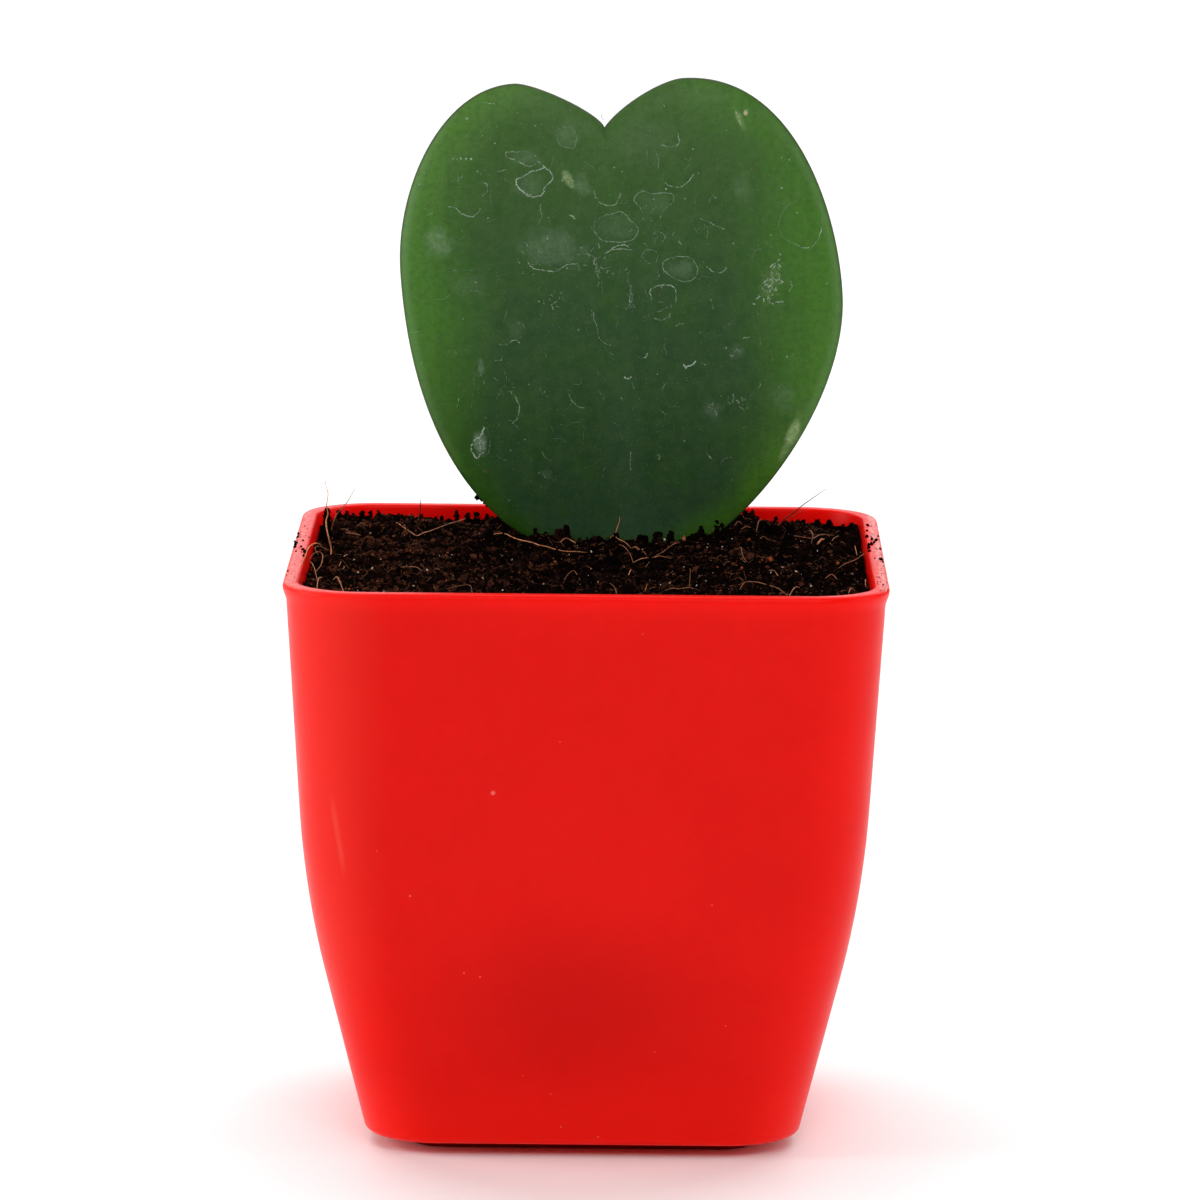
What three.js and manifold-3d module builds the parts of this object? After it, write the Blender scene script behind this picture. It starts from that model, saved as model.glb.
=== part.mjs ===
// A potted hoya: one thick heart-shaped leaf, rooted upright in a square plastic pot of coir mix.
// Millimetres, +Z up. The origin is the centre of the pot's footprint, on the surface that it
// stands on. The leaf's broad face looks towards -Y, the front.

import * as THREE from "three";
import { mergeVertices } from "three/addons/utils/BufferGeometryUtils.js";
import Module from "manifold-3d";

const wasm = await Module();
wasm.setup();

// ---- Driving dimensions ----

const clearance = 0.3; // between the pot and the mix
const leafClearance = 0.4; // between the leaf and the mix

// Pot: a square shell whose steep upper draft and slanted lower draft meet in a soft bend.
const potHeight = 97.3;
const wall = 2.2;
const base = { halfWidth: 35.81, draft: 0.2357, cornerRadius: 12.5 }; // draft: outward mm per mm up
const rim = { halfWidth: 49.55, draft: 0.061, cornerRadius: 13 };
const bendSoftness = 2.56;
const lip = { flare: 0.5, height: 3.2, rounding: 0.9, innerRounding: 0.6 };
const foot = { height: 2.2, inset: 7, width: 3 };
const baseFillet = 1.1;
const cornerSteps = 8;
const floorTop = foot.height + wall;
const wallHeights = [8, 18, 28, 34, 40, 46, 52, 60, 72, 84];
const drainHole = { radius: 2.5, spread: 18, sides: 16 };
const arcMiddle = 0.29; // a quarter round's middle point lies this many radii from its two sides

// Potting mix: its level, its low waves, and the heaps pushed up against the leaf.
const mixLevel = 95.3;
const mixWaves = [
  { height: 0.35, alongX: 0.21, alongY: 0.05, start: 1 },
  { height: 0.3, alongX: 0.09, alongY: 0.26, start: 2.4 },
  { height: 0.22, alongX: 0.47, alongY: -0.38, start: 0.3 },
];
const mixHeaps = [
  { x: -15, y: 27, rise: 2.4, spread: 6 },
  { x: 27, y: 27, rise: 3.2, spread: 7.5 },
  { x: 13, y: 19, rise: 0.9, spread: 6 },
  { x: -30, y: 34, rise: 0.8, spread: 9 },
  { x: 5, y: 10, rise: -0.6, spread: 10 },
];
const mixRings = 12;
const mixSideHeights = [18, 34, 46, 60];

// Crumbs of the mix that stand out of its top.
const crumbCount = 170;
const crumbRadius = { least: 0.9, most: 2 };
const crumbStretch = { least: 0.7, most: 1.3 };
const crumbSunk = 0.2; // how far a crumb's centre lies under the surface, in radii
const crumbWallGap = 3; // from a crumb's centre to the wall
const crumbSeed = 7;

// Leaf: a heart in its own frame, with u to the right, v up the midrib, and (0, 0) at the stalk.
const leafFoot = new THREE.Vector3(7.5, 24, 89.3);
const leafLean = -4.04; // degrees about Y: the notch leans to the left
const bladeThickness = 4;
const bladeHub = { u: 0, v: 45 }; // every point of the outline is seen from here
const bladeReach = { u: 38, v: 42 };
const bladeCup = 2.5; // how far the middle stands in front of the margin
const marginRoundness = 16;
const marginThinning = 0.2;
const bladeRings = [0.99, 0.96, 0.9, 0.78, 0.55, 0.28]; // fractions of the way from hub to margin
const notch = [0, 77.4];
const lobes = {
  left: {
    notchPull: [-0.7, 79.9],
    top: [-15, 85.7],
    topPulls: [3.5, 12.6],
    side: [-36.5, 54.7],
    sidePulls: [14.1, 24.3],
    footPull: [-28.5, 4.6],
  },
  right: {
    notchPull: [2.6, 80.8],
    top: [13.9, 84.9],
    topPulls: [3.8, 18.2],
    side: [39, 46.2],
    sidePulls: [16, 19.8],
    footPull: [17, 0.5],
  },
};
const curveSteps = [7, 10, 16]; // points along a lobe's three curves
const stalkProfile = [ // radius and height, from the cut end up into the blade
  [0, -13],
  [1.5, -12.6],
  [1.9, -11],
  [2.1, -5],
  [2.3, 0],
  [1.9, 4],
  [1.1, 7],
  [0, 8],
];
const stalkSides = 14;

// Coir fibres that lie on the mix. Each route starts and ends inside it.
const fibreThickness = 0.6;
const fibreSteps = 7;
const fibres = [
  [[-35.6, 25, 94.3], [-33, 24, 97.2], [-29.6, 22, 96.2], [-25, 23.5, 97.5], [-20, 26.5, 97.3]],
  [[-41, -15, 93.8], [-42.5, -9, 98.7], [-44, -4, 99.5], [-41, -1, 98.5], [-41, -6, 94.3]],
  [[-44, -33, 93.8], [-44.2, -31, 96.9], [-43.4, -28, 98.3], [-42.2, -26, 94.3]],
  [[-19.5, 21, 94.3], [-15, 21, 96.9], [-11, 18.5, 96.5], [-7, 15, 95.9], [-4, 13.5, 94.3]],
  [[3, 20, 94.3], [5.4, 15.5, 96.9], [8.3, 9, 96.3], [10.6, 3, 94.3]],
  [[6.5, 2, 94.3], [10.8, 1.5, 96.3], [15, 2.4, 96.1], [17, 3, 94.3]],
  [[8.5, 3, 94.3], [12.4, 7, 97.1], [16.4, 11.5, 97.7], [18.4, 13.5, 95.3]],
  [[24, -28, 94.3], [27.5, -26, 96.6], [31, -28, 96.4], [34.4, -32, 94.3]],
  [[33, -36, 93.8], [34.5, -34, 96.7], [36, -31.5, 97.9], [37, -30, 94.3]],
  [[44.6, 30, 94.3], [43.6, 29, 98.7], [43.6, 26, 94.3]],
  [[44, 6, 94.3], [43, 1, 96.5], [40.5, -3, 96.3], [39, -5, 94.3]],
];

// ---- Solids ----

function solidOf(geometry) {
  const positions = geometry.clone();
  positions.deleteAttribute("normal");
  positions.deleteAttribute("uv");
  const merged = mergeVertices(positions);
  return new wasm.Manifold(
    new wasm.Mesh({
      numProp: 3,
      vertProperties: merged.attributes.position.array,
      triVerts: new Uint32Array(merged.index.array),
    }),
  );
}

function geometryOf(solid) {
  const mesh = solid.getMesh();
  const geometry = new THREE.BufferGeometry();
  geometry.setAttribute("position", new THREE.BufferAttribute(mesh.vertProperties, mesh.numProp));
  geometry.setIndex(new THREE.BufferAttribute(mesh.triVerts, 1));
  geometry.computeVertexNormals();
  return geometry;
}

// The largest body of a solid, without the loose scraps that a cut leaves.
function largestBody(solid) {
  const bodies = solid.decompose();
  return bodies.reduce((best, body) => (body.volume() > best.volume() ? body : best));
}

// Joins rings of equally many points into a closed skin, with a fan to a point at each end.
function loft(rings, startPoint, endPoint) {
  const count = rings[0].length;
  const points = [startPoint, ...rings.flat(), endPoint];
  const last = points.length - 1;
  const triangles = [];
  for (let i = 0; i < count; i++) {
    const j = (i + 1) % count;
    triangles.push(0, 1 + j, 1 + i);
    for (let r = 0; r + 1 < rings.length; r++) {
      const low = 1 + r * count;
      const high = low + count;
      triangles.push(low + i, low + j, high + j);
      triangles.push(low + i, high + j, high + i);
    }
    const top = 1 + (rings.length - 1) * count;
    triangles.push(top + i, top + j, last);
  }
  const geometry = new THREE.BufferGeometry().setFromPoints(points);
  geometry.setIndex(triangles);
  geometry.computeVertexNormals();
  return geometry;
}

// ---- Pot ----

// The half width of the pot's outside at height z, where the two drafts blend into each other.
function outerHalfWidth(z) {
  const lower = base.halfWidth + base.draft * z;
  const upper = rim.halfWidth - rim.draft * (potHeight - z);
  const near = Math.max(bendSoftness - Math.abs(lower - upper), 0);
  return Math.min(lower, upper) - (near * near) / (4 * bendSoftness);
}

function outerCornerRadius(z) {
  return THREE.MathUtils.lerp(base.cornerRadius, rim.cornerRadius, z / potHeight);
}

// One counterclockwise ring of a round-cornered square, with z from height(x, y).
function squareRing(halfWidth, cornerRadius, height) {
  const flat = halfWidth - cornerRadius;
  const ring = [];
  for (const [sx, sy, start] of [[1, -1, -90], [1, 1, 0], [-1, 1, 90], [-1, -1, 180]]) {
    for (let i = 0; i <= cornerSteps; i++) {
      const angle = THREE.MathUtils.degToRad(start + (90 * i) / cornerSteps);
      const x = sx * flat + cornerRadius * Math.cos(angle);
      const y = sy * flat + cornerRadius * Math.sin(angle);
      ring.push(new THREE.Vector3(x, y, height(x, y)));
    }
  }
  return ring;
}

// A ring of the pot's wall at height z, moved in from the outside by inset.
function wallRing(z, inset) {
  return squareRing(outerHalfWidth(z) - inset, outerCornerRadius(z) - inset, () => z);
}

function makePot() {
  const lipStart = potHeight - lip.height;
  const footOuter = foot.inset;
  const footInner = foot.inset + foot.width;
  const rings = [
    wallRing(foot.height, footInner),
    wallRing(0, footInner),
    wallRing(0, footOuter),
    wallRing(foot.height, footOuter),
    wallRing(foot.height, baseFillet),
    wallRing(foot.height + arcMiddle * baseFillet, arcMiddle * baseFillet),
    wallRing(foot.height + baseFillet, 0),
    ...wallHeights.map((z) => wallRing(z, 0)),
    wallRing(lipStart, 0),
    wallRing(potHeight - lip.rounding, -lip.flare),
    wallRing(potHeight - arcMiddle * lip.rounding, arcMiddle * lip.rounding - lip.flare),
    wallRing(potHeight, lip.rounding - lip.flare),
    wallRing(potHeight, wall - lip.innerRounding),
    wallRing(potHeight - arcMiddle * lip.innerRounding, wall - arcMiddle * lip.innerRounding),
    wallRing(potHeight - lip.innerRounding, wall),
    ...wallHeights.toReversed().map((z) => wallRing(z, wall)),
    wallRing(floorTop, wall),
  ];
  const under = new THREE.Vector3(0, 0, foot.height);
  const inside = new THREE.Vector3(0, 0, floorTop);
  let pot = solidOf(loft(rings, under, inside));
  for (const hole of drainHoles()) pot = pot.subtract(hole);
  return geometryOf(pot);
}

// Five round holes through the floor: one in the middle and one towards each corner.
function drainHoles() {
  const places = [[0, 0], [1, 1], [-1, 1], [-1, -1], [1, -1]];
  return places.map(([x, y]) => {
    const { radius, sides } = drainHole;
    const hole = new THREE.CylinderGeometry(radius, radius, 4 * wall, sides);
    hole.rotateX(Math.PI / 2);
    hole.translate(x * drainHole.spread, y * drainHole.spread, floorTop);
    return solidOf(hole);
  });
}

// ---- Leaf ----

// One lobe's outline as three curves: notch to top, top to side, and side to stalk.
function lobeCurves({ notchPull, top, topPulls, side, sidePulls, footPull }) {
  const outward = Math.sign(side[0]);
  const at = (u, v) => new THREE.Vector2(u, v);
  return [
    new THREE.CubicBezierCurve(
      at(...notch),
      at(...notchPull),
      at(top[0] - outward * topPulls[0], top[1]),
      at(...top),
    ),
    new THREE.CubicBezierCurve(
      at(...top),
      at(top[0] + outward * topPulls[1], top[1]),
      at(side[0], side[1] + sidePulls[0]),
      at(...side),
    ),
    new THREE.CubicBezierCurve(
      at(...side),
      at(side[0], side[1] - sidePulls[1]),
      at(...footPull),
      at(0, 0),
    ),
  ];
}

// The heart's outline from the notch, counterclockwise as seen from the front.
function heartOutline() {
  const walk = (lobe) =>
    lobeCurves(lobe).flatMap((curve, i) => curve.getPoints(curveSteps[i]).slice(0, -1));
  const left = walk(lobes.left);
  const right = walk(lobes.right).slice(1).reverse();
  return [...left, new THREE.Vector2(0, 0), ...right];
}

// How far behind the leaf's plane the middle of the blade lies at (u, v): 0 round the margin.
function bladeDepth(u, v) {
  const across = u / bladeReach.u;
  const along = (v - bladeHub.v) / bladeReach.v;
  return bladeCup * (across * across + along * along - 1);
}

// The blade, with its outline and its faces moved out by grow.
function makeBlade(grow) {
  const outline = heartOutline().map((p) => {
    const ray = new THREE.Vector2(p.x - bladeHub.u, p.y - bladeHub.v);
    return ray.setLength(ray.length() + grow);
  });
  const ring = (s, face) =>
    outline.map((ray) => {
      const u = bladeHub.u + s * ray.x;
      const v = bladeHub.v + s * ray.y;
      return new THREE.Vector3(u, bladeDepth(u, v) + face * halfThickness(s, grow), v);
    });
  const hub = (face) => {
    const depth = bladeDepth(bladeHub.u, bladeHub.v) + face * halfThickness(0, grow);
    return new THREE.Vector3(bladeHub.u, depth, bladeHub.v);
  };
  const rings = [
    ...bladeRings.toReversed().map((s) => ring(s, 1)),
    ring(1, 0),
    ...bladeRings.map((s) => ring(s, -1)),
  ];
  return solidOf(loft(rings, hub(1), hub(-1)));
}

function halfThickness(s, grow) {
  const rounding = Math.sqrt(1 - s ** marginRoundness);
  return (bladeThickness / 2) * rounding * (1 - marginThinning * s * s) + grow * rounding;
}

function makeStalk(grow) {
  const profile = stalkProfile.map(([radius, height]) => {
    const wide = radius === 0 ? 0 : radius + grow;
    const end = height < 0 ? height - grow : height;
    return new THREE.Vector2(wide, end);
  });
  const stalk = new THREE.LatheGeometry(profile, stalkSides);
  stalk.rotateX(Math.PI / 2);
  return solidOf(stalk);
}

function makeLeaf(grow) {
  return geometryOf(makeBlade(grow).add(makeStalk(grow)));
}

// ---- Potting mix ----

// A repeatable stream of numbers from 0 to 1: a linear congruential generator.
function seededRandom(seed) {
  const [multiplier, increment, modulus] = [1664525, 1013904223, 2 ** 32];
  let state = seed;
  return () => {
    state = (state * multiplier + increment) % modulus;
    return state / modulus;
  };
}

function mixTop(x, y) {
  let z = mixLevel;
  for (const wave of mixWaves) {
    z += wave.height * Math.sin(wave.alongX * x + wave.alongY * y + wave.start);
  }
  for (const heap of mixHeaps) {
    const away = Math.hypot(x - heap.x, y - heap.y) / heap.spread;
    z += heap.rise * Math.exp(-away * away);
  }
  return z;
}

// The body of the mix: the inside of the pot up to the wavy top.
function mixBody() {
  const gap = wall + clearance;
  const bottom = floorTop + clearance;
  const edge = outerHalfWidth(mixLevel) - gap;
  const corner = outerCornerRadius(mixLevel) - gap;
  const topRing = (i) => {
    const s = 1 - i / mixRings;
    return squareRing(edge * s, corner * s, mixTop);
  };
  const rings = [
    wallRing(bottom, gap),
    ...mixSideHeights.map((z) => wallRing(z, gap)),
    ...Array.from({ length: mixRings }, (_, i) => topRing(i)),
  ];
  const low = new THREE.Vector3(0, 0, bottom);
  const high = new THREE.Vector3(0, 0, mixTop(0, 0));
  return solidOf(loft(rings, low, high));
}

function makeCrumb(random) {
  const spin = () => 2 * Math.PI * random();
  const stretch = () => THREE.MathUtils.lerp(crumbStretch.least, crumbStretch.most, random());
  const radius = THREE.MathUtils.lerp(crumbRadius.least, crumbRadius.most, random() ** 2);
  const crumb = new THREE.IcosahedronGeometry(radius, 0);
  crumb.scale(stretch(), stretch(), stretch());
  crumb.rotateX(spin());
  crumb.rotateZ(spin());
  const reach = outerHalfWidth(mixLevel) - wall - crumbWallGap;
  const x = reach * (2 * random() - 1);
  const y = reach * (2 * random() - 1);
  crumb.translate(x, y, mixTop(x, y) - crumbSunk * radius);
  return { crumb, inPot: insideWall(x, y, reach) };
}

// Whether (x, y) lies in a round-cornered square.
function insideWall(x, y, halfWidth) {
  const corner = rim.cornerRadius - wall;
  const overX = Math.max(Math.abs(x) - (halfWidth - corner), 0);
  const overY = Math.max(Math.abs(y) - (halfWidth - corner), 0);
  return Math.hypot(overX, overY) < corner;
}

function makeFibre(route) {
  const r = fibreThickness / 2;
  const section = new THREE.Shape([
    new THREE.Vector2(r, 0),
    new THREE.Vector2(0, r),
    new THREE.Vector2(-r, 0),
    new THREE.Vector2(0, -r),
  ]);
  const path = new THREE.CatmullRomCurve3(route.map((p) => new THREE.Vector3(...p)));
  return new THREE.ExtrudeGeometry(section, { steps: fibreSteps, extrudePath: path });
}

// The mix with its crumbs and fibres, and the hole that the leaf stands in.
function makeMix(leafHole) {
  const random = seededRandom(crumbSeed);
  const pieces = [];
  for (let i = 0; i < crumbCount; i++) {
    const { crumb, inPot } = makeCrumb(random);
    if (inPot) pieces.push(solidOf(crumb));
  }
  pieces.push(...fibres.map((route) => solidOf(makeFibre(route))));
  let mix = mixBody();
  for (const piece of pieces) mix = mix.add(piece);
  return geometryOf(largestBody(mix.subtract(leafHole)));
}

// ---- The object ----

const plant = new THREE.Group();

const pot = new THREE.Mesh(
  makePot(),
  new THREE.MeshStandardMaterial({ color: 0xdd1c14, roughness: 0.35, metalness: 0 }),
);
pot.name = "pot";
plant.add(pot);

const leaf = new THREE.Mesh(
  makeLeaf(0),
  new THREE.MeshStandardMaterial({ color: 0x34552f, roughness: 0.5, metalness: 0 }),
);
leaf.name = "leaf";
leaf.position.copy(leafFoot);
leaf.rotation.y = THREE.MathUtils.degToRad(leafLean);
leaf.updateMatrix();
plant.add(leaf);

const holeShape = makeLeaf(leafClearance).applyMatrix4(leaf.matrix);
const mix = new THREE.Mesh(
  makeMix(solidOf(holeShape)),
  new THREE.MeshStandardMaterial({ color: 0x1e140f, roughness: 1, metalness: 0 }),
);
mix.name = "potting_mix";
plant.add(mix);

export default plant;
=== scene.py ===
"""A potted hoya: one thick heart-shaped leaf, upright in a square red plastic pot of coir mix.

Shapes are worked out in millimetres, in the frame's own axes, and scaled to metres when a mesh is made.
"""

import math

import bpy
import numpy as np
from mathutils import Matrix, Vector, noise


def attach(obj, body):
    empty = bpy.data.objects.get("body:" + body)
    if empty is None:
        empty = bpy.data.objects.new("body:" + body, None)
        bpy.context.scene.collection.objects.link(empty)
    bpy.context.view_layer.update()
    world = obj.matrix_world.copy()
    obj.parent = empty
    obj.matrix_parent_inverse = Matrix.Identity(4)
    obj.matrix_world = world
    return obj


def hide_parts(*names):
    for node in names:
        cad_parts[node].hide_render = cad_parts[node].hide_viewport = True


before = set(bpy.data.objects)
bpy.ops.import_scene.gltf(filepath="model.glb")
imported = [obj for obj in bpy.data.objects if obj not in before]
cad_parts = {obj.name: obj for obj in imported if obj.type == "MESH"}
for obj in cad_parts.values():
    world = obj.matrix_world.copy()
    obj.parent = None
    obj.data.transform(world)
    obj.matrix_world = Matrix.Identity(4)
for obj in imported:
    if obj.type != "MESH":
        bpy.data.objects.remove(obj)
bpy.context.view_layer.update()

MM = 0.001
BODY = "root"
MARK_SEED, FIBRE_SEED, CRUMB_SEED, RIM_SEED = 8, 5, 11, 21

# ---- Driving dimensions, in millimetres ----

POT_HEIGHT = 97.3
WALL = 2.2
BASE_HALF_WIDTH, BASE_DRAFT, BASE_CORNER = 35.81, 0.2357, 12.5
RIM_HALF_WIDTH, RIM_DRAFT, RIM_CORNER = 49.55, 0.061, 13
BEND_SOFTNESS = 2.56
LIP_FLARE, LIP_HEIGHT, LIP_ROUNDING, LIP_INNER_ROUNDING = 0.5, 3.2, 0.9, 0.6
FOOT_HEIGHT, FOOT_INSET, FOOT_WIDTH, FOOT_ROUNDING = 2.2, 7, 3, 0.3
BASE_FILLET = 1.1
FLOOR_TOP = FOOT_HEIGHT + WALL
DRAIN_RADIUS, DRAIN_SPREAD = 2.5, 18

MIX_LEVEL = 95.3
MIX_CLEARANCE = 0.3
MIX_WAVES = [(0.35, 0.21, 0.05, 1), (0.3, 0.09, 0.26, 2.4), (0.22, 0.47, -0.38, 0.3)]
MIX_HEAPS = [(-15, 27, 2.4, 6), (27, 27, 3.2, 7.5), (13, 19, 0.9, 6), (-30, 34, 0.8, 9), (5, 10, -0.6, 10)]

LEAF_FOOT = Vector((7.5, 24, 89.3))
LEAF_LEAN = math.radians(-4.04)
BLADE_THICKNESS = 4
BLADE_HUB_V = 45
BLADE_REACH_U, BLADE_REACH_V = 38, 42
BLADE_CUP = 2.5
MIDRIB_DEPTH, MIDRIB_WIDTH, MIDRIB_END, MIDRIB_FADE = 0.1, 1.6, 56, 40
STALK_MARGIN = 4.0
MARGIN_ROUNDNESS = 16
MARGIN_THINNING = 0.2
NOTCH = (0, 77.4)
LOBES = [
    {"notch_pull": (-0.7, 79.9), "top": (-15, 85.7), "top_pulls": (3.5, 12.6),
     "side": (-36.5, 54.7), "side_pulls": (14.1, 24.3), "foot_pull": (-28.5, 4.6)},
    {"notch_pull": (2.6, 80.8), "top": (13.9, 84.9), "top_pulls": (3.8, 18.2),
     "side": (39, 46.2), "side_pulls": (16, 19.8), "foot_pull": (17, 0.5)},
]
STALK_PROFILE = [(0, -13), (1.5, -12.6), (1.9, -11), (2.1, -5), (2.3, 0), (1.9, 4), (1.1, 7), (0, 8)]

# ---- Camera ----

CAMERA_PLACE = Vector((8.8, -1280.2, 298.9))
CAMERA_PITCH = math.radians(9.335)
CAMERA_YAW = math.radians(0.299)
CAMERA_ROLL = math.radians(0.506)
CAMERA_TURN = (
    Matrix.Rotation(CAMERA_YAW, 3, "Z")
    @ Matrix.Rotation(math.pi / 2 - CAMERA_PITCH, 3, "X")
    @ Matrix.Rotation(CAMERA_ROLL, 3, "Z")
)
PHOTO_WIDTH = 1200
FOCAL_PIXELS = 7656.3
SENSOR_WIDTH = 36
CAMERA_RANGE = 20 # metres


def make_camera():
    data = bpy.data.cameras.new("camera")
    data.sensor_width = SENSOR_WIDTH
    data.lens = SENSOR_WIDTH * FOCAL_PIXELS / PHOTO_WIDTH
    data.clip_end = CAMERA_RANGE
    camera = bpy.data.objects.new("camera", data)
    bpy.context.scene.collection.objects.link(camera)
    camera.matrix_world = Matrix.Translation(CAMERA_PLACE * MM) @ CAMERA_TURN.to_4x4()
    bpy.context.scene.camera = camera


def pixel_ray(x, y):
    """The direction in which the camera sees a pixel of the 1200 x 1200 photograph."""
    return CAMERA_TURN @ Vector((x - PHOTO_WIDTH / 2, PHOTO_WIDTH / 2 - y, -FOCAL_PIXELS))


def seen_at_height(x, y, height):
    """Where the line of sight through a pixel passes a height, in millimetres."""
    ray = pixel_ray(x, y)
    return CAMERA_PLACE + ray * ((height - CAMERA_PLACE.z) / ray.z)


def seen_at_depth(x, y, depth):
    """Where the line of sight through a pixel passes a value of y, in millimetres."""
    ray = pixel_ray(x, y)
    return CAMERA_PLACE + ray * ((depth - CAMERA_PLACE.y) / ray.y)


make_camera()

# ---- Helpers for meshes ----


def add_object(name, mesh):
    obj = bpy.data.objects.new(name, mesh)
    bpy.context.scene.collection.objects.link(obj)
    return obj


def make_piece(name, points_mm, faces, material, smooth=True):
    """One piece of the object from points in millimetres, riding with the frame."""
    mesh = bpy.data.meshes.new(name)
    mesh.from_pydata((np.asarray(points_mm) * MM).tolist(), [], faces)
    mesh.validate()
    mesh.materials.append(material)
    if smooth:
        mesh.shade_smooth()
    piece = add_object(name, mesh)
    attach(piece, BODY)
    return piece


def store(piece, name, kind, values):
    """Keeps one value for each vertex, for the material to read."""
    attribute = piece.data.attributes.new(name, kind, "POINT")
    field = "vector" if kind == "FLOAT_VECTOR" else "value"
    attribute.data.foreach_set(field, np.asarray(values, dtype=np.float32).ravel())


def circle(radius, sides, x=0, y=0, z=0):
    """Points of a level circle, counterclockwise."""
    angles = [2 * math.pi * i / sides for i in range(sides)]
    return [(x + radius * math.cos(angle), y + radius * math.sin(angle), z) for angle in angles]


def loft_faces(ring_count, count):
    """Quads between rings of count points, with a fan to an extra point at each end."""
    faces = []
    for r in range(ring_count - 1):
        low, high = r * count, (r + 1) * count
        for i in range(count):
            j = (i + 1) % count
            faces.append((low + i, low + j, high + j, high + i))
    first, last = ring_count * count, ring_count * count + 1
    top = (ring_count - 1) * count
    for i in range(count):
        j = (i + 1) % count
        faces.append((first, j, i))
        faces.append((last, top + i, top + j))
    return faces


def loft(rings, first, last):
    """Points and faces of a closed skin over rings of points, with a point in the middle of each end."""
    points = [p for ring in rings for p in ring] + [first, last]
    return points, loft_faces(len(rings), len(rings[0]))


def shifted(faces, start):
    """Faces of a part whose first point is number start of the whole."""
    return [tuple(start + i for i in face) for face in faces]


def fractal(x, y, z, scale, octaves=3):
    """Soft noise from about -1 to 1 whose largest lumps are about scale across."""
    return noise.fractal(Vector((x, y, z)) / scale, 0.8, 2.1, octaves)


def clamp(value, low=0.0, high=1.0):
    return min(max(value, low), high)


# ---- Helpers for materials ----


class Shader:
    """A material whose nodes are added and wired by short calls."""

    def __init__(self, name):
        self.material = bpy.data.materials.new(name)
        self.material.use_nodes = True
        self.tree = self.material.node_tree
        self.surface = self.tree.nodes["Principled BSDF"]

    def node(self, kind, inputs=None, **settings):
        made = self.tree.nodes.new(kind)
        for key, value in settings.items():
            setattr(made, key, value)
        for key, value in (inputs or {}).items():
            self.wire(made.inputs[key], value)
        return made

    def wire(self, socket, value):
        if isinstance(value, bpy.types.NodeSocket):
            self.tree.links.new(value, socket)
        else:
            socket.default_value = value

    def math(self, operation, a, b=0.0, clamp=False):
        made = self.node("ShaderNodeMath", operation=operation, use_clamp=clamp)
        self.wire(made.inputs[0], a)
        self.wire(made.inputs[1], b)
        return made.outputs[0]

    def times(self, first, *others):
        for other in others:
            first = self.math("MULTIPLY", first, other)
        return first

    def larger(self, a, b):
        return self.math("MAXIMUM", a, b)

    def absolute(self, value):
        return self.math("ABSOLUTE", value)

    def centred(self, value, spread):
        """A value around 0.5 moved to lie around 0, times spread."""
        return self.times(self.math("SUBTRACT", value, 0.5), spread)

    def stretched(self, vector, *shares):
        return self.vector("MULTIPLY", vector, shares)

    def vector(self, operation, a, b=(0, 0, 0)):
        made = self.node("ShaderNodeVectorMath", operation=operation)
        self.wire(made.inputs[0], a)
        self.wire(made.inputs[1], b)
        return made.outputs["Value" if operation in ("LENGTH", "DISTANCE") else "Vector"]

    def attribute(self, name, output="Fac"):
        return self.node("ShaderNodeAttribute", attribute_name=name).outputs[output]

    def split(self, vector):
        return self.node("ShaderNodeSeparateXYZ", {"Vector": vector}).outputs

    def noise(self, vector, size_mm, detail=3.0, roughness=0.5):
        """Noise whose lumps are size_mm across, on coordinates in millimetres."""
        inputs = {"Vector": vector, "Scale": 1 / size_mm, "Detail": detail, "Roughness": roughness}
        return self.node("ShaderNodeTexNoise", inputs).outputs["Fac"]

    def ramp(self, value, low, high, to_low=0.0, to_high=1.0):
        """Goes smoothly from to_low at low to to_high at high."""
        made = self.node("ShaderNodeMapRange", interpolation_type="SMOOTHSTEP")
        names = ("Value", "From Min", "From Max", "To Min", "To Max")
        for name, setting in zip(names, (value, low, high, to_low, to_high)):
            self.wire(made.inputs[name], setting)
        return made.outputs["Result"]

    def mix(self, amount, first, second):
        made = self.node("ShaderNodeMix", data_type="RGBA")
        self.wire(made.inputs["Factor"], amount)
        self.wire(made.inputs["A"], first)
        self.wire(made.inputs["B"], second)
        return made.outputs["Result"]

    def bump(self, height, strength, distance_mm):
        inputs = {"Height": height, "Strength": strength, "Distance": distance_mm * MM}
        return self.node("ShaderNodeBump", inputs).outputs["Normal"]

    def stops(self, value, colours):
        """The colour at a value, from a list of (position, colour)."""
        made = self.node("ShaderNodeValToRGB", {"Fac": value})
        elements = made.color_ramp.elements
        while len(elements) < len(colours):
            elements.new(0.5)
        for element, (position, tone) in zip(elements, colours):
            element.position = position
            element.color = tone
        return made.outputs["Color"]

    def place(self):
        """The place on the object, in millimetres."""
        inputs = {"Vector": self.node("ShaderNodeTexCoord").outputs["Object"], "Scale": 1 / MM}
        return self.node("ShaderNodeVectorMath", inputs, operation="SCALE").outputs["Vector"]

    def set(self, **values):
        for name, value in values.items():
            self.wire(self.surface.inputs[name.replace("_", " ")], value)


def colour(red, green, blue):
    """A colour given as it looks on a screen, from 0 to 255."""
    def linear(c):
        c /= 255
        return c / 12.92 if c <= 0.04045 else ((c + 0.055) / 1.055) ** 2.4
    return (linear(red), linear(green), linear(blue), 1.0)


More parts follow.
